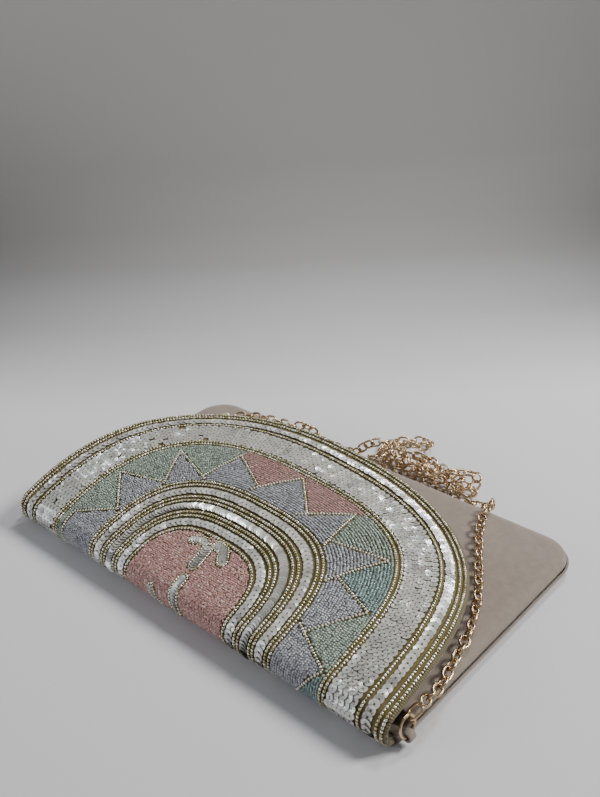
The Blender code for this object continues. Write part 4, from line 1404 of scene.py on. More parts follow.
@dataclass
class Lobe:
    """One leaf lobe: a spine, and half its width."""

    spine: tuple[Place, ...]
    half: float

    def distance(self, point: Place) -> float:
        """Distance from a place to the lobe's spine."""
        return min(line_distance(point, a, b) for a, b in zip(self.spine, self.spine[1:]))

    def _end(self, tip: Place, inner: Place) -> list[Place]:
        """Places round one end of the lobe, between its two sides."""
        turn = math.atan2(tip[1] - inner[1], tip[0] - inner[0]) + math.pi / 2
        return [moved(tip, turn - math.pi * i / 6, self.half) for i in range(1, 6)]

    def rim(self) -> list[Place]:
        """Places round the lobe's edge."""
        spine = self.spine
        left, right = [], []
        for i, point in enumerate(spine):
            before, after = spine[max(i - 1, 0)], spine[min(i + 1, len(spine) - 1)]
            angle = math.atan2(after[1] - before[1], after[0] - before[0]) + math.pi / 2
            left.append(moved(point, angle, self.half))
            right.append(moved(point, angle, -self.half))
        return left + self._end(spine[-1], spine[-2]) + right[::-1] + self._end(spine[0], spine[1]) + left[:1]


@dataclass
class CentreField(Band):
    """Half-disc of rose beads in winding rows, with pale leaf lobes sewn over it."""

    slot = Slot.CENTRE
    inward: float
    row_step: float = 1.14 * MM
    row_squeeze: float = 0.87
    bead_size: float = 0.95
    shake: float = 0.22
    turn_shake: float = 0.4
    sink: Place = (0.05 * MM, 0.25 * MM)
    leaf_gap: float = 0.75 * MM
    rim_pitch: float = 1.4 * MM
    rim_rise: float = 0.3 * MM
    rim_size: float = 0.84
    rim_shine: float = 0.1
    disc_pitch: float = 1.35 * MM
    disc_rise: float = 0.25 * MM
    disc_overrun: float = 0.5 * MM
    disc_narrower: float = 1.0 * MM
    disc_slope: float = 0.3
    disc_shake: Place = (0.06, 0.08)
    disc_tint: Place = (0.0, 0.55)
    margin: float = 0.1 * MM
    lobes: tuple[tuple[tuple[Place, ...], float], ...] = (
        (((-12.7, 34.0), (-9.6, 35.3), (-6.6, 35.7)), 2.3),
        (((-1.3, 22.6), (-1.9, 28.5), (-2.6, 33.6)), 2.5),
        (((0.9, 37.2), (5.0, 36.6), (9.4, 31.2)), 2.6),
        (((-0.6, 14.5), (-0.4, 8.0), (1.3, 2.5), (4.0, -3.0)), 2.3),
        (((-14.5, 2.5), (-11.5, -3.5), (-8.0, -8.0)), 2.0),
    )

    def sew(self, work: Beadwork) -> None:
        """Adds the field to the work.

        Args:
            work: The beadwork.
        """
        leaves = [Lobe(tuple(in_metres(spine)), half * MM) for spine, half in self.lobes]
        for leaf in leaves:
            self._sew_leaf(leaf, work)
        half, reach, power = FORM.outline(self.inward + self.margin)
        rise = self.row_step * self.row_squeeze
        rows = int((reach - FORM.root) / rise)
        columns = int(2 * half / self.row_step)
        play = self.row_step * self.shake
        for i in range(rows + 1):
            v = FORM.root + rise * (i + 0.5)
            for j in range(columns + 1):
                x = -half + self.row_step * (j + 0.5 * (i % 2))
                up = max(v - FORM.start, 0.0) / (reach - FORM.start)
                if (abs(x) / half) ** power + up ** power > 1.0:
                    continue
                if min(leaf.distance((x, v)) - leaf.half for leaf in leaves) < self.leaf_gap:
                    continue
                shaken = Mark(
                    x + work.play(play), v + work.play(play), self._wander(x, v) + work.play(self.turn_shake))
                depth = work.bead_depth + work.chance.uniform(*self.sink)
                work.add(self.band, Slot.CENTRE, shaken, depth, self.bead_size)

    def _sew_leaf(self, leaf: Lobe, work: Beadwork) -> None:
        """Adds a lobe to the work: gold beads round it and sequins along its spine.

        Args:
            leaf: The lobe.
            work: The beadwork.
        """
        name = self.band + "_leaves"
        work.bead_row(
            name, Slot.GOLD, leaf.rim(), self.rim_pitch, work.bead_depth - self.rim_rise, Hue.GREY,
            self.rim_shine, self.rim_size)
        size = (leaf.half * 2 - self.disc_narrower) / work.sequin_width
        for mark in pace(leaf.spine, self.disc_pitch, 0.0, -self.disc_overrun):
            lean = (self.disc_slope + work.play(self.disc_shake[0]), work.play(self.disc_shake[1]))
            work.add(
                name, Slot.SEQUIN, mark, work.sequin_depth - self.disc_rise, size, lean,
                work.chance.uniform(*self.disc_tint))

    @staticmethod
    def _wander(x: float, v: float) -> float:
        """Heading of the beads at a place, which winds over the field."""
        return 2.2 * math.sin(x * 310.0 + 2.0 * math.sin(v * 260.0)) + 1.4 * math.sin(v * 420.0 - x * 190.0)


# ------------------------------------------------------------------- cloth


@dataclass
class PouchCloth:
    """Front and back panels of the pouch, with the linings inside it."""

    finishes: Finishes
    depth: float = POUCH_DEPTH
    corner: float = 0.018
    seam: float = 0.005
    round_edge: float = 0.006
    top: float = 0.0095
    cloth: float = 0.001
    board: float = 0.001
    lining: float = 0.0005
    inset: float = 0.008
    mouth: float = 0.017
    crown: float = 0.00656184
    crown_place: float = 0.69
    mouth_share: float = 0.5
    crown_lean: float = 0.35
    crown_power: float = 1.5
    gap: float = 0.0003
    binding: float = 0.0008
    crease: float = 0.0007
    step: float = 0.0012
    overlap: float = 0.1 * MM
    wrinkle: float = 0.16 * MM
    fine_wrinkle: float = 0.05 * MM
    under_turn: float = math.radians(20.0)
    under_steps: int = 6
    corner_steps: int = 12
    edge_steps: int = 8
    front_steps: tuple[int, int] = (56, 44)
    back_steps: tuple[int, int] = (40, 12)
    lining_steps: tuple[int, int] = (24, 20)
    binding_steps: tuple[int, int] = (8, 30)

    def seam_height(self, reach: float) -> float:
        """Height of the side seam at a reach."""
        return self.seam * smooth_step((reach - FORM.roll) / (self.mouth - FORM.roll))

    def half_width(self, reach: float) -> float:
        """Half width of the pouch at a reach."""
        spread = smooth_step((reach - FORM.roll) / (self.mouth - FORM.roll))
        return FORM.half + (FORM.pouch_half - FORM.half) * spread

    def seam_distance(self, x: float, reach: float, inset: float) -> float:
        """Distance from a place to the side and far seam, less the inset."""
        out_x = max(abs(x) - self.half_width(reach) + self.corner, 0.0)
        out_y = max(reach - self.depth + self.corner, 0.0)
        away = math.hypot(out_x, out_y) if out_x > 0.0 and out_y > 0.0 else max(out_x, out_y)
        return self.corner - inset - away

    def crown_share(self, x: float, reach: float) -> float:
        """Share of the full crown that the front panel has at a place."""
        side = x / FORM.pouch_half
        across = (1.0 - min(side ** 2, 1.0)) ** self.crown_power * (1.0 - self.crown_lean * side)
        peak = self.depth * self.crown_place
        if reach < peak:
            ease = math.sin(math.pi / 2 * (reach - self.mouth) / (peak - self.mouth)) ** 2
            return across * (self.mouth_share + (1.0 - self.mouth_share) * ease)
        return across * math.cos(math.pi / 2 * (reach - peak) / (self.depth - peak)) ** 2

    def front(self, x: float, reach: float, inset: float) -> float:
        """Height of the front panel's face, or of a face inset from it."""
        rise = edge_round(self.seam_distance(x, reach, inset + self.step), self.round_edge - inset)
        low = self.seam_height(reach) + self.crease
        return low + (self.top - inset + self.crown * self.crown_share(x, reach) - low) * rise

    def back(self, x: float, reach: float, inset: float) -> float:
        """Height of the back panel's face, or of a face inset from it."""
        rise = edge_round(self.seam_distance(x, reach, inset), self.round_edge - inset)
        return inset + max(self.seam_height(reach) - self.crease - inset, 0.0) * (1.0 - rise)

    def rows(self, start: float, inset: float, steps: int) -> list[Place]:
        """Reaches with the half widths there, round the far corners."""
        body_end = self.depth - self.corner
        radius = self.corner - inset
        reaches = [start + (body_end - start) * i / steps for i in range(steps + 1)]
        return [(reach, self.half_width(reach) - inset) for reach in reaches] + [
            (body_end + radius * math.sin(angle), FORM.pouch_half - self.corner + radius * math.cos(angle))
            for angle in quarter(self.corner_steps)[1:]]

    def columns(self, half: float, middle: int) -> list[float]:
        """Places across a row, close together at the rounded edges."""
        inner = half - self.round_edge
        edge = [inner + self.round_edge * math.sin(angle) for angle in quarter(self.edge_steps)]
        right = [inner * i / middle for i in range(1, middle)] + edge
        return [-x for x in reversed(right)] + [0.0] + right

    def _wrinkle(self, x: float, reach: float) -> float:
        """Slight sinking of the cloth into its board's hollows, as a height of 0 or less."""
        fade = edge_round(self.seam_distance(x, reach, 0.0) - 0.002, 0.01)
        wave = math.sin(x * 61.0 + math.sin(reach * 83.0) * 1.3) * math.sin(reach * 74.0 + x * 23.0 + 0.7)
        fine = math.sin(x * 190.0 + reach * 120.0) * math.sin(reach * 210.0 - x * 60.0)
        return min((self.wrinkle * wave + self.fine_wrinkle * fine) * fade, 0.0)

    def build(self) -> None:
        """Builds the panels, the linings and the mouth's binding."""
        low = self.cloth + self.board + 2 * self.gap
        self._sheet("pouch_front", Slot.POUCH, ["front_panel"], self._front_face, (0.0, self.cloth))
        self._sheet("pouch_back", Slot.POUCH, ["back_panel"], self._back_face, (0.0, self.cloth))
        for name, node, height in (
                ("lining_front", "front_lining",
                 lambda x, reach: self.top + self.crown * self.crown_share(x, reach) - low),
                ("lining_back", "back_lining", lambda x, reach: low + self.lining)):
            self._sheet(
                name, Slot.LINING, [node], lambda drop: self._lining_face(height, drop), (0.0, self.lining))
        self._sheet("mouth_binding", Slot.POUCH, [], self._binding_face, (self.binding, 0.0))

    def _sheet(
        self, name: str, slot: Slot, nodes: Sequence[str], face: Callable[[float], Grid], levels: Place
    ) -> None:
        """Builds a piece of the pouch between two levels of a face.

        Args:
            name: The piece's name.
            slot: Its material slot.
            nodes: CAD nodes that it replaces.
            face: Gives the rows of points at a level.
            levels: The outer and the inner level.
        """
        finished(shell(name, face(levels[0]), face(levels[1])), "pouch", slot, self.finishes, nodes)

    def _front_face(self, inset: float) -> Grid:
        """Points on the front panel's face, or on the smooth face inset from it.

        Args:
            inset: Distance in from the outer face.

        Returns:
            Rows of points, from the mouth to the far seam.
        """
        rows, columns = self.front_steps
        sinks = self._wrinkle if inset == 0.0 else lambda x, reach: 0.0
        return [
            [behind_fold(x, reach, self.front(x, reach, inset) + sinks(x, reach))
             for x in self.columns(half, columns)]
            for reach, half in self.rows(self.mouth, inset + self.step, rows)]

    def _back_face(self, inset: float) -> Grid:
        """Points on the back panel's face, or on a face inset from it, with its turn into the fold.

        Args:
            inset: Distance in from the outer face.

        Returns:
            Rows of points, from the fold to the far seam.
        """
        rows, columns = self.back_steps
        grid = []
        radius = FORM.roll - inset
        for i in range(self.under_steps):
            angle = self.under_turn * (self.under_steps - i) / self.under_steps
            y, z = FORM.fold_y + FORM.roll - radius * math.sin(angle), FORM.roll - radius * math.cos(angle)
            grid.append([Vector((x, y, z)) for x in self.columns(FORM.half, columns)])
        return grid + [
            [behind_fold(x, reach, self.back(x, reach, inset)) for x in self.columns(half, columns)]
            for reach, half in self.rows(FORM.roll, inset, rows)]

    def _lining_face(self, height: Callable[[float, float], float], drop: float) -> Grid:
        """Points on one lining's face, or on a face under it."""
        rows, columns = self.lining_steps
        return [
            [behind_fold(half * x, reach, height(half * x, reach) - drop) for x in evenly(columns)]
            for reach, half in self.rows(self.mouth, self.inset, rows)]

    def _binding_face(self, swell: float) -> Grid:
        """Points on the cloth turned over the mouth's edge, from the front's face to the lining.

        Args:
            swell: How far the turn stands out of the mouth's edge.

        Returns:
            Rows of points along the mouth.
        """
        half = self.half_width(self.mouth) - self.inset
        rows, columns = self.binding_steps
        grid = []
        for i in range(rows + 1):
            turn = math.pi * i / rows
            row = []
            for side in evenly(columns):
                x = half * side
                top = self.front(x, self.mouth, 0.0) - self.overlap
                low = top - self.cloth - self.board - self.lining - 2 * self.gap
                y = FORM.fold_y + self.mouth + self.overlap - swell * math.sin(turn)
                row.append(Vector((x, y, (top + low) / 2 + (top - low) / 2 * math.cos(turn))))
            grid.append(row)
        return grid


@dataclass
class FlapCloth:
    """Ground cloth, lining and rim cord of the flap, and the cloth of the fold."""

    finishes: Finishes
    ground_depth: float = 1.25 * MM
    ground_back: float = 1.75 * MM
    lining_depth: float = 3.6 * MM
    lining_back: float = 4.0 * MM
    inset: float = 2.2 * MM
    cord_radius: float = 0.95 * MM
    cord_rise: float = 1.3 * MM
    cord_depth: float = 2.0 * MM
    fold_inner: float = 2.8 * MM
    fold_lining: float = 0.5 * MM
    fold_middles: tuple[float, ...] = (-0.0140, -0.007854, -0.001571, 0.004712, 0.0082)
    lining_end: float = 0.0095
    blend_half: float = 0.0022
    wrap: float = 1.1 * MM
    sink_start: float = 0.0047
    sink_run: float = 0.0033
    sink_more: float = 0.6 * MM
    cord_step: float = 0.8 * MM
    cord_sides: int = 12
    moon_steps: int = 36
    moon_ease: float = 1.3
    fold_steps: tuple[int, int] = (12, 20)
    fold_cord_steps: int = 10

    def _half_moon(self, name: str, inset: float, levels: Place) -> bpy.types.Object:
        """Half-moon sheet inside one outline, between two depths.

        Args:
            name: The object's name.
            inset: Distance of its edge from the rim.
            levels: Depths of its two faces under the bead tops.

        Returns:
            The object.
        """
        half, reach, power = FORM.outline(inset)
        places = []
        for i in range(self.moon_steps + 1):
            v = (i / self.moon_steps) ** self.moon_ease
            row = []
            for u in evenly(self.moon_steps):
                norm = (abs(u) ** power + v ** power) ** (1.0 / power)
                scale = max(abs(u), v) / norm if norm > 0.0 else 1.0
                row.append((half * u * scale, FORM.start + (reach - FORM.start) * v * scale))
            places.append(row)
        return shell(name, *([[FORM.point(*place, level) for place in row] for row in places] for level in levels))

    def _arc(self, low: float, high: float, depths: Callable[[float], Place], half: float) -> list[Grid]:
        """Two grids of the fold's roll.

        Args:
            low: Reach at which they start.
            high: Reach at which they end.
            depths: Gives the depths of both at a reach.
            half: Half their width.

        Returns:
            The outer and the inner grid.
        """
        rows, columns = self.fold_steps
        reaches = [low + (high - low) * i / rows for i in range(rows + 1)]
        return [
            [[FORM.point(half * side, reach, depths(reach)[k]) for side in evenly(columns)] for reach in reaches]
            for k in (0, 1)]

    def build(self) -> None:
        """Builds every cloth piece of the flap and the fold."""
        ground = self._half_moon("flap_ground", self.inset, (self.ground_depth, self.ground_back))
        finished(ground, "flap", Slot.GROUND, self.finishes, ["flap_base_cloth"])
        lining = self._half_moon("flap_underside", self.inset, (self.lining_depth, self.lining_back))
        finished(lining, "flap", Slot.LINING, self.finishes, ["flap_lining"])
        self._build_cord()
        self._build_fold()

    def _build_cord(self) -> None:
        """Builds the rim's cord and its run down both ends of the fold."""
        rim = pace(FORM.row(self.cord_radius, FORM.hinges[-1]), self.cord_step)
        points = [FORM.point(m.x, m.reach, self.cord_depth) for m in rim]
        made = tube("rim_cord", [points], (self.cord_radius, self.cord_rise), self.cord_sides, self.wrap)
        finished(made, "flap", Slot.CORD, self.finishes, ["edge_cord"])
        edge, steps = FORM.half - self.cord_radius, self.fold_cord_steps
        for number, (low, high) in enumerate(zip(FORM.hinges, FORM.hinges[1:]), start=1):
            runs = [
                [FORM.point(x, low + (high - low) * i / steps, self.cord_depth) for i in range(steps + 1)]
                for x in (edge, -edge)]
            made = tube(f"fold_cord_{number}", runs, (self.cord_radius,) * 2, self.cord_sides, self.wrap)
            finished(made, f"fold_{number}", Slot.CORD, self.finishes)

    def _build_fold(self) -> None:
        """Builds the ground cloth and the lining across each of the fold's hinges."""
        half = FORM.half - 2 * self.cord_radius
        layers = (
            ("fold_ground", Slot.GROUND, lambda reach: (self.ground_depth, self.ground_back), self.fold_middles[-1]),
            ("fold_lining", Slot.LINING, self._lining_levels, self.lining_end),
        )
        for number, hinge in enumerate(FORM.hinges):
            low, high = self.fold_middles[number:number + 2]
            for name, slot, levels, end in layers:
                top = end if hinge == FORM.hinges[-1] else high
                piece = shell(f"{name}_{number + 1}", *self._arc(low, top, levels, half))
                dress(piece, self.finishes[slot])
                tuple(FORM.point(0.0, max(hinge - self.blend_half, low), 0.0))
                tuple(FORM.point(0.0, min(hinge + self.blend_half, top), 0.0))
                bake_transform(piece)
                LOG.info("%s across %s and %s", piece.name, BODIES[number], BODIES[number + 1])

    def _lining_levels(self, reach: float) -> Place:
        """Depths of the fold lining's two faces at a reach."""
        sink = smooth_step((reach - self.sink_start) / self.sink_run)
        depth = self.fold_inner - self.fold_lining + (self.lining_back - self.fold_inner + self.sink_more) * sink
        return depth, depth + self.fold_lining


# ------------------------------------------------------------ chain and rings


def smooth_route(points: Sequence[Vector], spacing: float) -> list[Vector]:
    """Reads points at even spacing from a smooth curve through a route's points.

    Args:
        points: Places that the route passes through.
        spacing: Wished distance between the points read.

    Returns:
        The points.
    """
    fine: list[Vector] = []
    for i in range(len(points) - 1):
        before = points[i - 1] if i else points[0] * 2 - points[1]
        after = points[i + 2] if i + 2 < len(points) else points[-1] * 2 - points[-2]
        span = (points[i + 1] - points[i]).length
        start_pull = points[i] + (points[i + 1] - before).normalized() * span / 3
        end_pull = points[i + 1] - (after - points[i]).normalized() * span / 3
        fine += geometry.interpolate_bezier(points[i], start_pull, end_pull, points[i + 1], 17)[1 if i else 0:]
    walk = Walk((second - first).length for first, second in zip(fine, fine[1:]))
    whole = walk.lengths[-1]
    count = max(2, round(whole / spacing))
    result = []
    for i in range(count + 1):
        step, share = walk.to(whole * i / count)
        result.append(fine[step].lerp(fine[step + 1], share))
    return result


@dataclass
class ChainStrap:
    """Chain of oval links that runs from ring to ring and lies in a heap behind the bag.

    Places are in millimetres. Those of the heap are across, behind the fold's line and above the floor.
    """

    finishes: Finishes
    setter: TrimSetter
    right_run: tuple[Spot, ...] = (
        (126.2, -56.3, 15.2), (124.8, -43.0, 12.1), (122.2, -31.0, 12.8), (117.6, -12.0, 13.0),
        (109.1, 8.4, 13.4), (99.4, 24.6, 14.0), (89.4, 40.3, 14.4), (80.3, 55.9, 13.7),
        (75.6, 67.9, 13.0), (73.5, 77.8, 10.8), (70.8, 81.6, 6.2), (66.5, 82.4, 3.0))
    left_run: tuple[Spot, ...] = (
        (-38.8, 81.1, 2.8), (-43.5, 81.4, 2.8), (-47.5, 81.2, 4.2), (-50.3, 79.6, 8.0),
        (-52.5, 77.2, 11.6), (-59.0, 71.1, 12.9), (-70.0, 69.2, 13.0), (-83.0, 65.5, 13.2),
        (-94.0, 57.0, 13.7), (-102.5, 43.0, 14.2), (-109.5, 23.0, 14.0), (-115.5, 0.0, 13.4),
        (-121.0, -24.0, 13.0), (-124.5, -42.0, 12.2), (-126.2, -56.3, 15.2))
    floor_runs: tuple[Spot, ...] = (
        (59.0, 5.8, 0.0), (40.0, 5.2, 0.0), (20.0, 6.2, 0.0), (0.0, 5.4, 0.0), (-8.0, 5.6, 0.0),
        (-11.4, 8.6, 0.0), (-8.0, 11.6, 0.0), (6.0, 11.6, 0.0), (26.0, 12.2, 0.0), (44.0, 11.4, 0.0),
        (52.0, 11.6, 0.0), (55.2, 14.6, 0.0), (51.8, 17.4, 0.0), (40.0, 17.0, 0.0), (22.0, 18.2, 0.0),
        (4.0, 17.4, 0.0), (-6.0, 18.0, 0.0), (-11.2, 22.6, 0.0), (-10.6, 29.6, 0.0), (-5.0, 35.4, 0.0),
        (2.2, 40.2, 0.4), (8.0, 39.8, 1.0), (9.2, 35.2, 1.4), (4.8, 31.6, 2.0), (-1.0, 27.0, 3.4),
        (-3.6, 21.8, 5.2))
    top_run: tuple[Spot, ...] = (
        (50.4, 5.6, 6.0), (55.4, 6.6, 7.2), (58.2, 10.4, 9.0), (55.6, 14.2, 10.8), (50.0, 13.4, 11.2),
        (44.0, 9.6, 11.2), (35.0, 9.6, 11.2), (26.0, 13.2, 11.2), (14.0, 9.4, 11.2), (2.0, 12.2, 11.2),
        (-7.0, 10.0, 10.8), (-13.4, 8.0, 7.4), (-17.8, 6.2, 3.4), (-21.6, 5.4, 0.8), (-27.0, 5.2, 0.4))
    cross_runs: int = 9
    cross_start: Place = (-3.0, 5.6)
    cross_step: float = 6.2
    cross_ends: Place = (15.0, 7.8)
    clearance: float = 0.0001
    diameter: float = 0.0048
    pitch: float = 4.85 * MM
    spacing: float = 2.0 * MM
    behind: float = 0.0765
    loose: Place = (0.3, 0.7)
    seed: int = 11

    def heap(self) -> list[Vector]:
        """Places of the heap: runs on the floor with an arm, cross loops over them, a run on top."""
        cross = []
        for i in range(self.cross_runs):
            for end in self.cross_ends[::-1] if i % 2 else self.cross_ends:
                cross.append((
                    self.cross_start[0] + self.cross_step * i, end + math.sin(2 * i), self.cross_start[1]))
        low = Vector((0.0, -FORM.fold_y, self.diameter / 2 + self.clearance))
        return [low + Vector(place) * MM for place in (*self.floor_runs, *cross, *self.top_run)]

    def route(self) -> list[Vector]:
        """The strap's whole middle line, from the right ring to the left one."""
        right = [Vector(p) * MM for p in self.right_run]
        left = [Vector(p) * MM for p in self.left_run]
        return smooth_route(right + self.heap() + left, self.spacing)

    def build(self) -> None:
        points = self.route()
        walk = Walk((b - a).length for a, b in zip(points, points[1:]))
        length = walk.lengths[-1]
        chance = random.Random(self.seed)
        count = round(length / self.pitch)
        stitches = []
        for i in range(count):
            place, share = walk.to((i + 0.5) * (length / count))
            middle = points[place].lerp(points[place + 1], share)
            along = (points[min(place + 2, len(points) - 1)] - points[max(place - 1, 0)]).normalized()
            level = UP.cross(along).normalized()
            up = along.cross(level)
            loose = self.loose[middle.y > self.behind]
            angle = (math.pi / 4 if i % 2 else -math.pi / 4) + chance.uniform(-loose, loose)
            out = level * math.sin(angle) + up * math.cos(angle)
            stitches.append(Stitch(middle, out, along, 1.0, chance.random(), 0.0))
        piece = self.setter.sew("chain_strap", Trim.LINK, stitches, self.finishes[Slot.METAL], (1.0, 1.0, 1.0))
        finished(
            piece, "pouch", Slot.METAL, self.finishes, ["chain_run_right", "chain_heap", "chain_run_left"])
        LOG.info("strap of %d links, %.3f m", count, length)


@dataclass
class RingTab:
    """Cloth tab that holds a ring at one end of the fold."""

    side: float
    name: str
    finishes: Finishes
    reach: float = 0.011
    overhang: float = 0.001
    rise: float = 0.0032
    width: float = 0.0036
    thickness: float = 0.0012
    wall: float = 0.001
    length: float = 0.013
    ring_radius: float = 0.0045
    wire: float = 0.0007
    cloth: float = 0.001
    gap: float = 0.0003
    softening: float = 0.00012
    flat_share: float = 0.9
    steps: int = 28
    leg_steps: int = 6

    def build(self) -> None:
        """Builds the tab as a folded strip round the ring's wire."""
        lift = self.rise + self.cloth + self.gap + self.thickness / 2
        loop = Vector((self.side * (FORM.pouch_half + self.overhang), FORM.fold_y + self.reach, lift))
        play = self.ring_radius - math.sqrt(self.ring_radius ** 2 - (self.width / 2) ** 2)
        inner = self.wire + play + self.gap
        outer = inner + self.wall
        base = Vector((loop.x - self.side * self.length, loop.y, loop.z - self.rise))
        run = (loop - base).normalized()
        up = Vector((-run.z, 0.0, run.x)) * self.side
        away = math.sqrt(outer ** 2 - (self.thickness / 2) ** 2)
        start = math.atan2(-self.thickness / 2, -away)
        sweep = 2 * math.pi - 2 * math.asin(self.thickness / 2 / outer)
        outline, bore = [], []
        for i in range(self.steps + 1):
            angle = start + sweep * i / self.steps
            turn = run * math.cos(angle) + up * math.sin(angle)
            outline.append(loop + turn * outer)
            bore.append(loop + turn * inner)
        legs, half = self.leg_steps, self.width / 2
        low, high = base - up * self.thickness / 2, base + up * self.thickness / 2
        outline = [low.lerp(outline[0], i / legs) for i in range(legs)] + outline
        outline += [outline[-1].lerp(high, i / legs) for i in range(1, legs + 1)]
        corners = []
        flat = half * self.flat_share
        for y, soft in ((-half, self.softening), (-flat, 0.0), (flat, 0.0), (half, self.softening)):
            for p in outline:
                on_loop = (p - loop).length < outer * 1.01
                shrink = (p - loop).normalized() * soft if on_loop else Vector()
                corners.append(p - shrink + Vector((0.0, y, 0.0)))
        count, hole = len(outline), len(corners)
        for y in (-half, half):
            corners += [p + Vector((0.0, y, 0.0)) for p in bore[:-1]]
        faces = wrapped(count, 4) + wrapped(self.steps, 2, hole)
        for level, ring in ((0, hole), (3 * count, hole + self.steps)):
            first, last = level + legs, level + legs + self.steps
            faces += [
                (first + j, first + j + 1, ring + (j + 1) % self.steps, ring + j) for j in range(self.steps)]
            faces.append((*range(level, first + 1), ring, *range(last, last + legs + 1)))
        piece = mesh_object(self.name, corners, faces)
        piece.data.set_sharp_from_angle(angle=math.radians(40.0))
        finished(piece, "pouch", Slot.POUCH, self.finishes, [self.name.replace("cloth_tab", "ring_tab")])


def dress_hardware(finishes: Finishes) -> None:
    """Gives the CAD parts that stay their materials.

    Args:
        finishes: The materials.
    """
    kinds = {
        Slot.METAL: ("ring_right", "ring_left", "end_link_right", "end_link_left", "snap_stud", "snap_socket"),
        Slot.WASHER: ("snap_washer_front", "snap_washer_flap"),
        Slot.BOARD: ("back_board", "front_board", "flap_board"),
    }
    for slot, names in kinds.items():
        for name in names:
            dress(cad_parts[name], finishes[slot])
            LOG.info("%s takes %s", name, slot.value)


# ------------------------------------------------------------------ studio


class Lamp(NamedTuple):
    """A square area light that is aimed at the bag."""

    name: str
    place: Spot
    size: float
    power: float
    colour: str


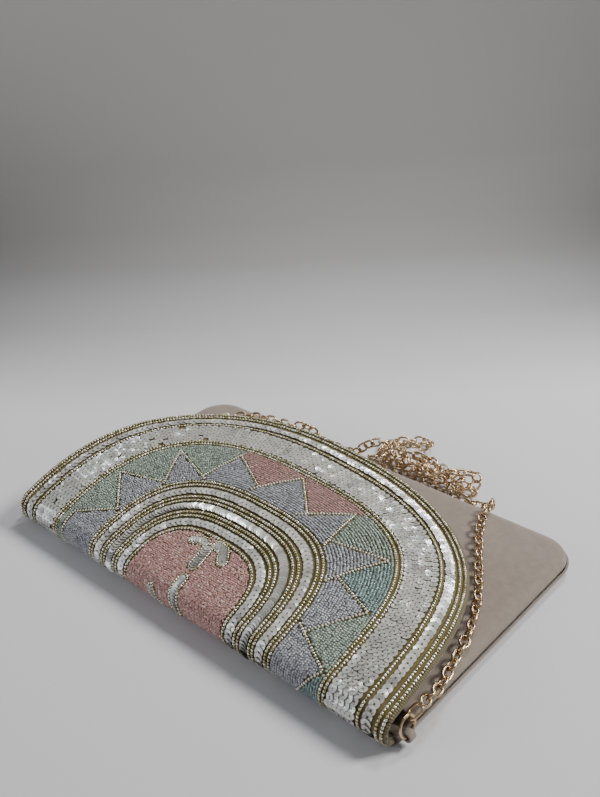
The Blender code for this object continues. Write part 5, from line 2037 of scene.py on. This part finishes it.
@dataclass
class Studio:
    """Floor, lights and camera.

    Glints light the shine only, from places that are given as directions.
    """

    eye: Spot = (0.2794, -0.2738, 0.2985)
    right: Spot = (0.7416, 0.6686, -0.0549)
    up: Spot = (-0.2895, 0.3928, 0.8729)
    back: Spot = (0.6052, -0.6314, 0.4849)
    sensor: float = 36.0
    lens: float = 43.06
    target: Spot = (0.0, 0.0, 0.01)
    lamps: tuple[Lamp, ...] = (
        Lamp("key", (0.8, 0.85, 1.0), 0.4, 24.0, "FFFDF8"),
        Lamp("fill", (-0.75, -1.0, 0.36), 0.8, 6.5, "F6F7FF"),
        Lamp("top", (0.0, 0.8, 1.3), 0.3, 9.0, "FFFFFF"))
    glints: tuple[Lamp, ...] = (
        Lamp("glint_1", (-0.50, 0.65, 0.57), 0.2, 30.0, "F4F7FF"),
        Lamp("glint_2", (-0.25, 0.79, 0.55), 0.2, 14.0, "F4F7FF"),
        Lamp("glint_3", (-0.58, 0.08, 0.81), 0.1, 1.6, "F4F7FF"))
    glint_distance: float = 1.6
    sky: str = "DADCE0"
    ambient: float = 0.31
    floor_away: Spot = (-0.66, 0.75, 0.0)
    floor_half: float = 2.4
    floor_drop: float = 0.00027
    floor_flat: tuple[float, ...] = (-1.6, -0.6, 0.0, 0.5)
    curve_start: float = 0.7
    curve_radius: float = 0.5
    wall_height: float = 2.2

    def build(self) -> None:
        """Builds the whole studio."""
        self._camera()
        self._floor()
        self._lights()

    def _camera(self) -> None:
        """Sets the camera at the photograph's place and angle."""
        data = bpy.data.cameras.new("camera")
        data.sensor_width = self.sensor
        data.lens = self.lens
        data.clip_start = 0.01
        camera = linked("camera", data)
        turn = Matrix((self.right, self.up, self.back)).transposed().to_4x4()
        camera.matrix_world = Matrix.Translation(self.eye) @ turn
        bpy.context.scene.camera = camera

    def _floor(self) -> None:
        """Lays a floor that curves up into a wall far behind the bag."""
        away = Vector(self.floor_away).normalized()
        wide = Vector((away.y, -away.x, 0.0))
        radius = self.curve_radius
        outline = [(distance, 0.0) for distance in self.floor_flat]
        outline += [
            (self.curve_start + radius * math.sin(angle), radius - radius * math.cos(angle))
            for angle in quarter(16)]
        outline.append((self.curve_start + radius, self.wall_height))
        corners = [
            away * distance + wide * side + Vector((0.0, 0.0, height - self.floor_drop))
            for distance, height in outline for side in (-self.floor_half, self.floor_half)]
        mesh = bpy.data.meshes.new("floor")
        mesh.from_pydata(
            [tuple(c) for c in corners], [],
            [(i, i + 1, i + 3, i + 2) for i in range(0, len(corners) - 2, 2)])
        mesh.shade_smooth()
        mesh.materials.append(FloorFinish().make())
        linked("floor", mesh)

    def _area(self, lamp: Lamp, distance: float = 1.0) -> bpy.types.Object:
        """Adds a lamp and returns its object.

        Args:
            lamp: The lamp.
            distance: Times which its place is taken.

        Returns:
            The light.
        """
        data = bpy.data.lights.new(lamp.name, "AREA")
        data.size = lamp.size
        data.energy = lamp.power
        data.color = linear(lamp.colour)[:3]
        place = Vector(lamp.place) * distance
        light = linked(lamp.name, data)
        light.location = place
        light.rotation_euler = (Vector(self.target) - place).to_track_quat("-Z", "Y").to_euler()
        return light

    def _lights(self) -> None:
        """Adds the key, the fill and the top light, the glints and a grey world."""
        for lamp in self.lamps:
            self._area(lamp)
        for glint in self.glints:
            self._area(glint, self.glint_distance).visible_diffuse = False
        world = bpy.data.worlds.new("world")
        world.use_nodes = True
        shade = world.node_tree.nodes["Background"]
        shade.inputs[0].default_value = linear(self.sky)
        shade.inputs[1].default_value = self.ambient
        bpy.context.scene.world = world


def main() -> None:
    """Builds the studio and the clutch, sub-assembly by sub-assembly."""
    logging.basicConfig(level=logging.INFO, format="%(message)s")
    Studio().build()
    finishes = Finishes()
    setter = TrimSetter()
    ChainStrap(finishes, setter).build()
    PouchCloth(finishes).build()
    FlapCloth(finishes).build()
    work = Beadwork(finishes, setter)
    parts: list[Band] = [
        GoldRows("gold_rows_outer", (2.1 * MM, 4.75 * MM)),
        SequinRow("sequin_band_outer", 9.4 * MM, 4.9 * MM, 2.95 * MM, -0.08),
        GoldRows("gold_row_scalloped", (13.7 * MM,)),
        SequinColumns("sequin_band_wide", 15.3 * MM, 14.8 * MM),
        GoldRows("gold_rows_middle", (31.2 * MM, 33.3 * MM)),
        ZigzagBand("zigzag_bead_band", 34.3 * MM, 26.0 * MM),
        GoldRows("gold_rows_inner", (61.4 * MM, 63.6 * MM)),
        SequinRow("sequin_band_inner_1", 67.2 * MM, 4.9 * MM, 2.75 * MM, -0.08),
        GoldRows("gold_rows_inner_2", (70.9 * MM, 73.1 * MM)),
        SequinRow("sequin_band_inner_2", 76.4 * MM, 4.4 * MM, 1.6 * MM, -0.34),
        GoldRows("gold_rows_inner_3", (79.8 * MM, 82.0 * MM)),
        SequinRow("sequin_band_inner_3", 85.4 * MM, 4.6 * MM, 2.7 * MM, -0.08),
        GoldRows("gold_row_centre", (89.0 * MM,)),
        CentreField("centre_bead_field", 90.2 * MM),
    ]
    for part in parts:
        part.sew(work)
    stands_for = {f"{part.band}_{part.slot.value}": part.band for part in parts}
    stands_for |= {f"fold_{number}_{Slot.GOLD.value}": f"fold_strip_{number}" for number in (1, 2, 3)}
    work.sew_all(stands_for)
    for side, name in ((1.0, "cloth_tab_right"), (-1.0, "cloth_tab_left")):
        RingTab(side, name, finishes).build()
    setter.put_away()
    dress_hardware(finishes)


if __name__ == "__main__":
    main()
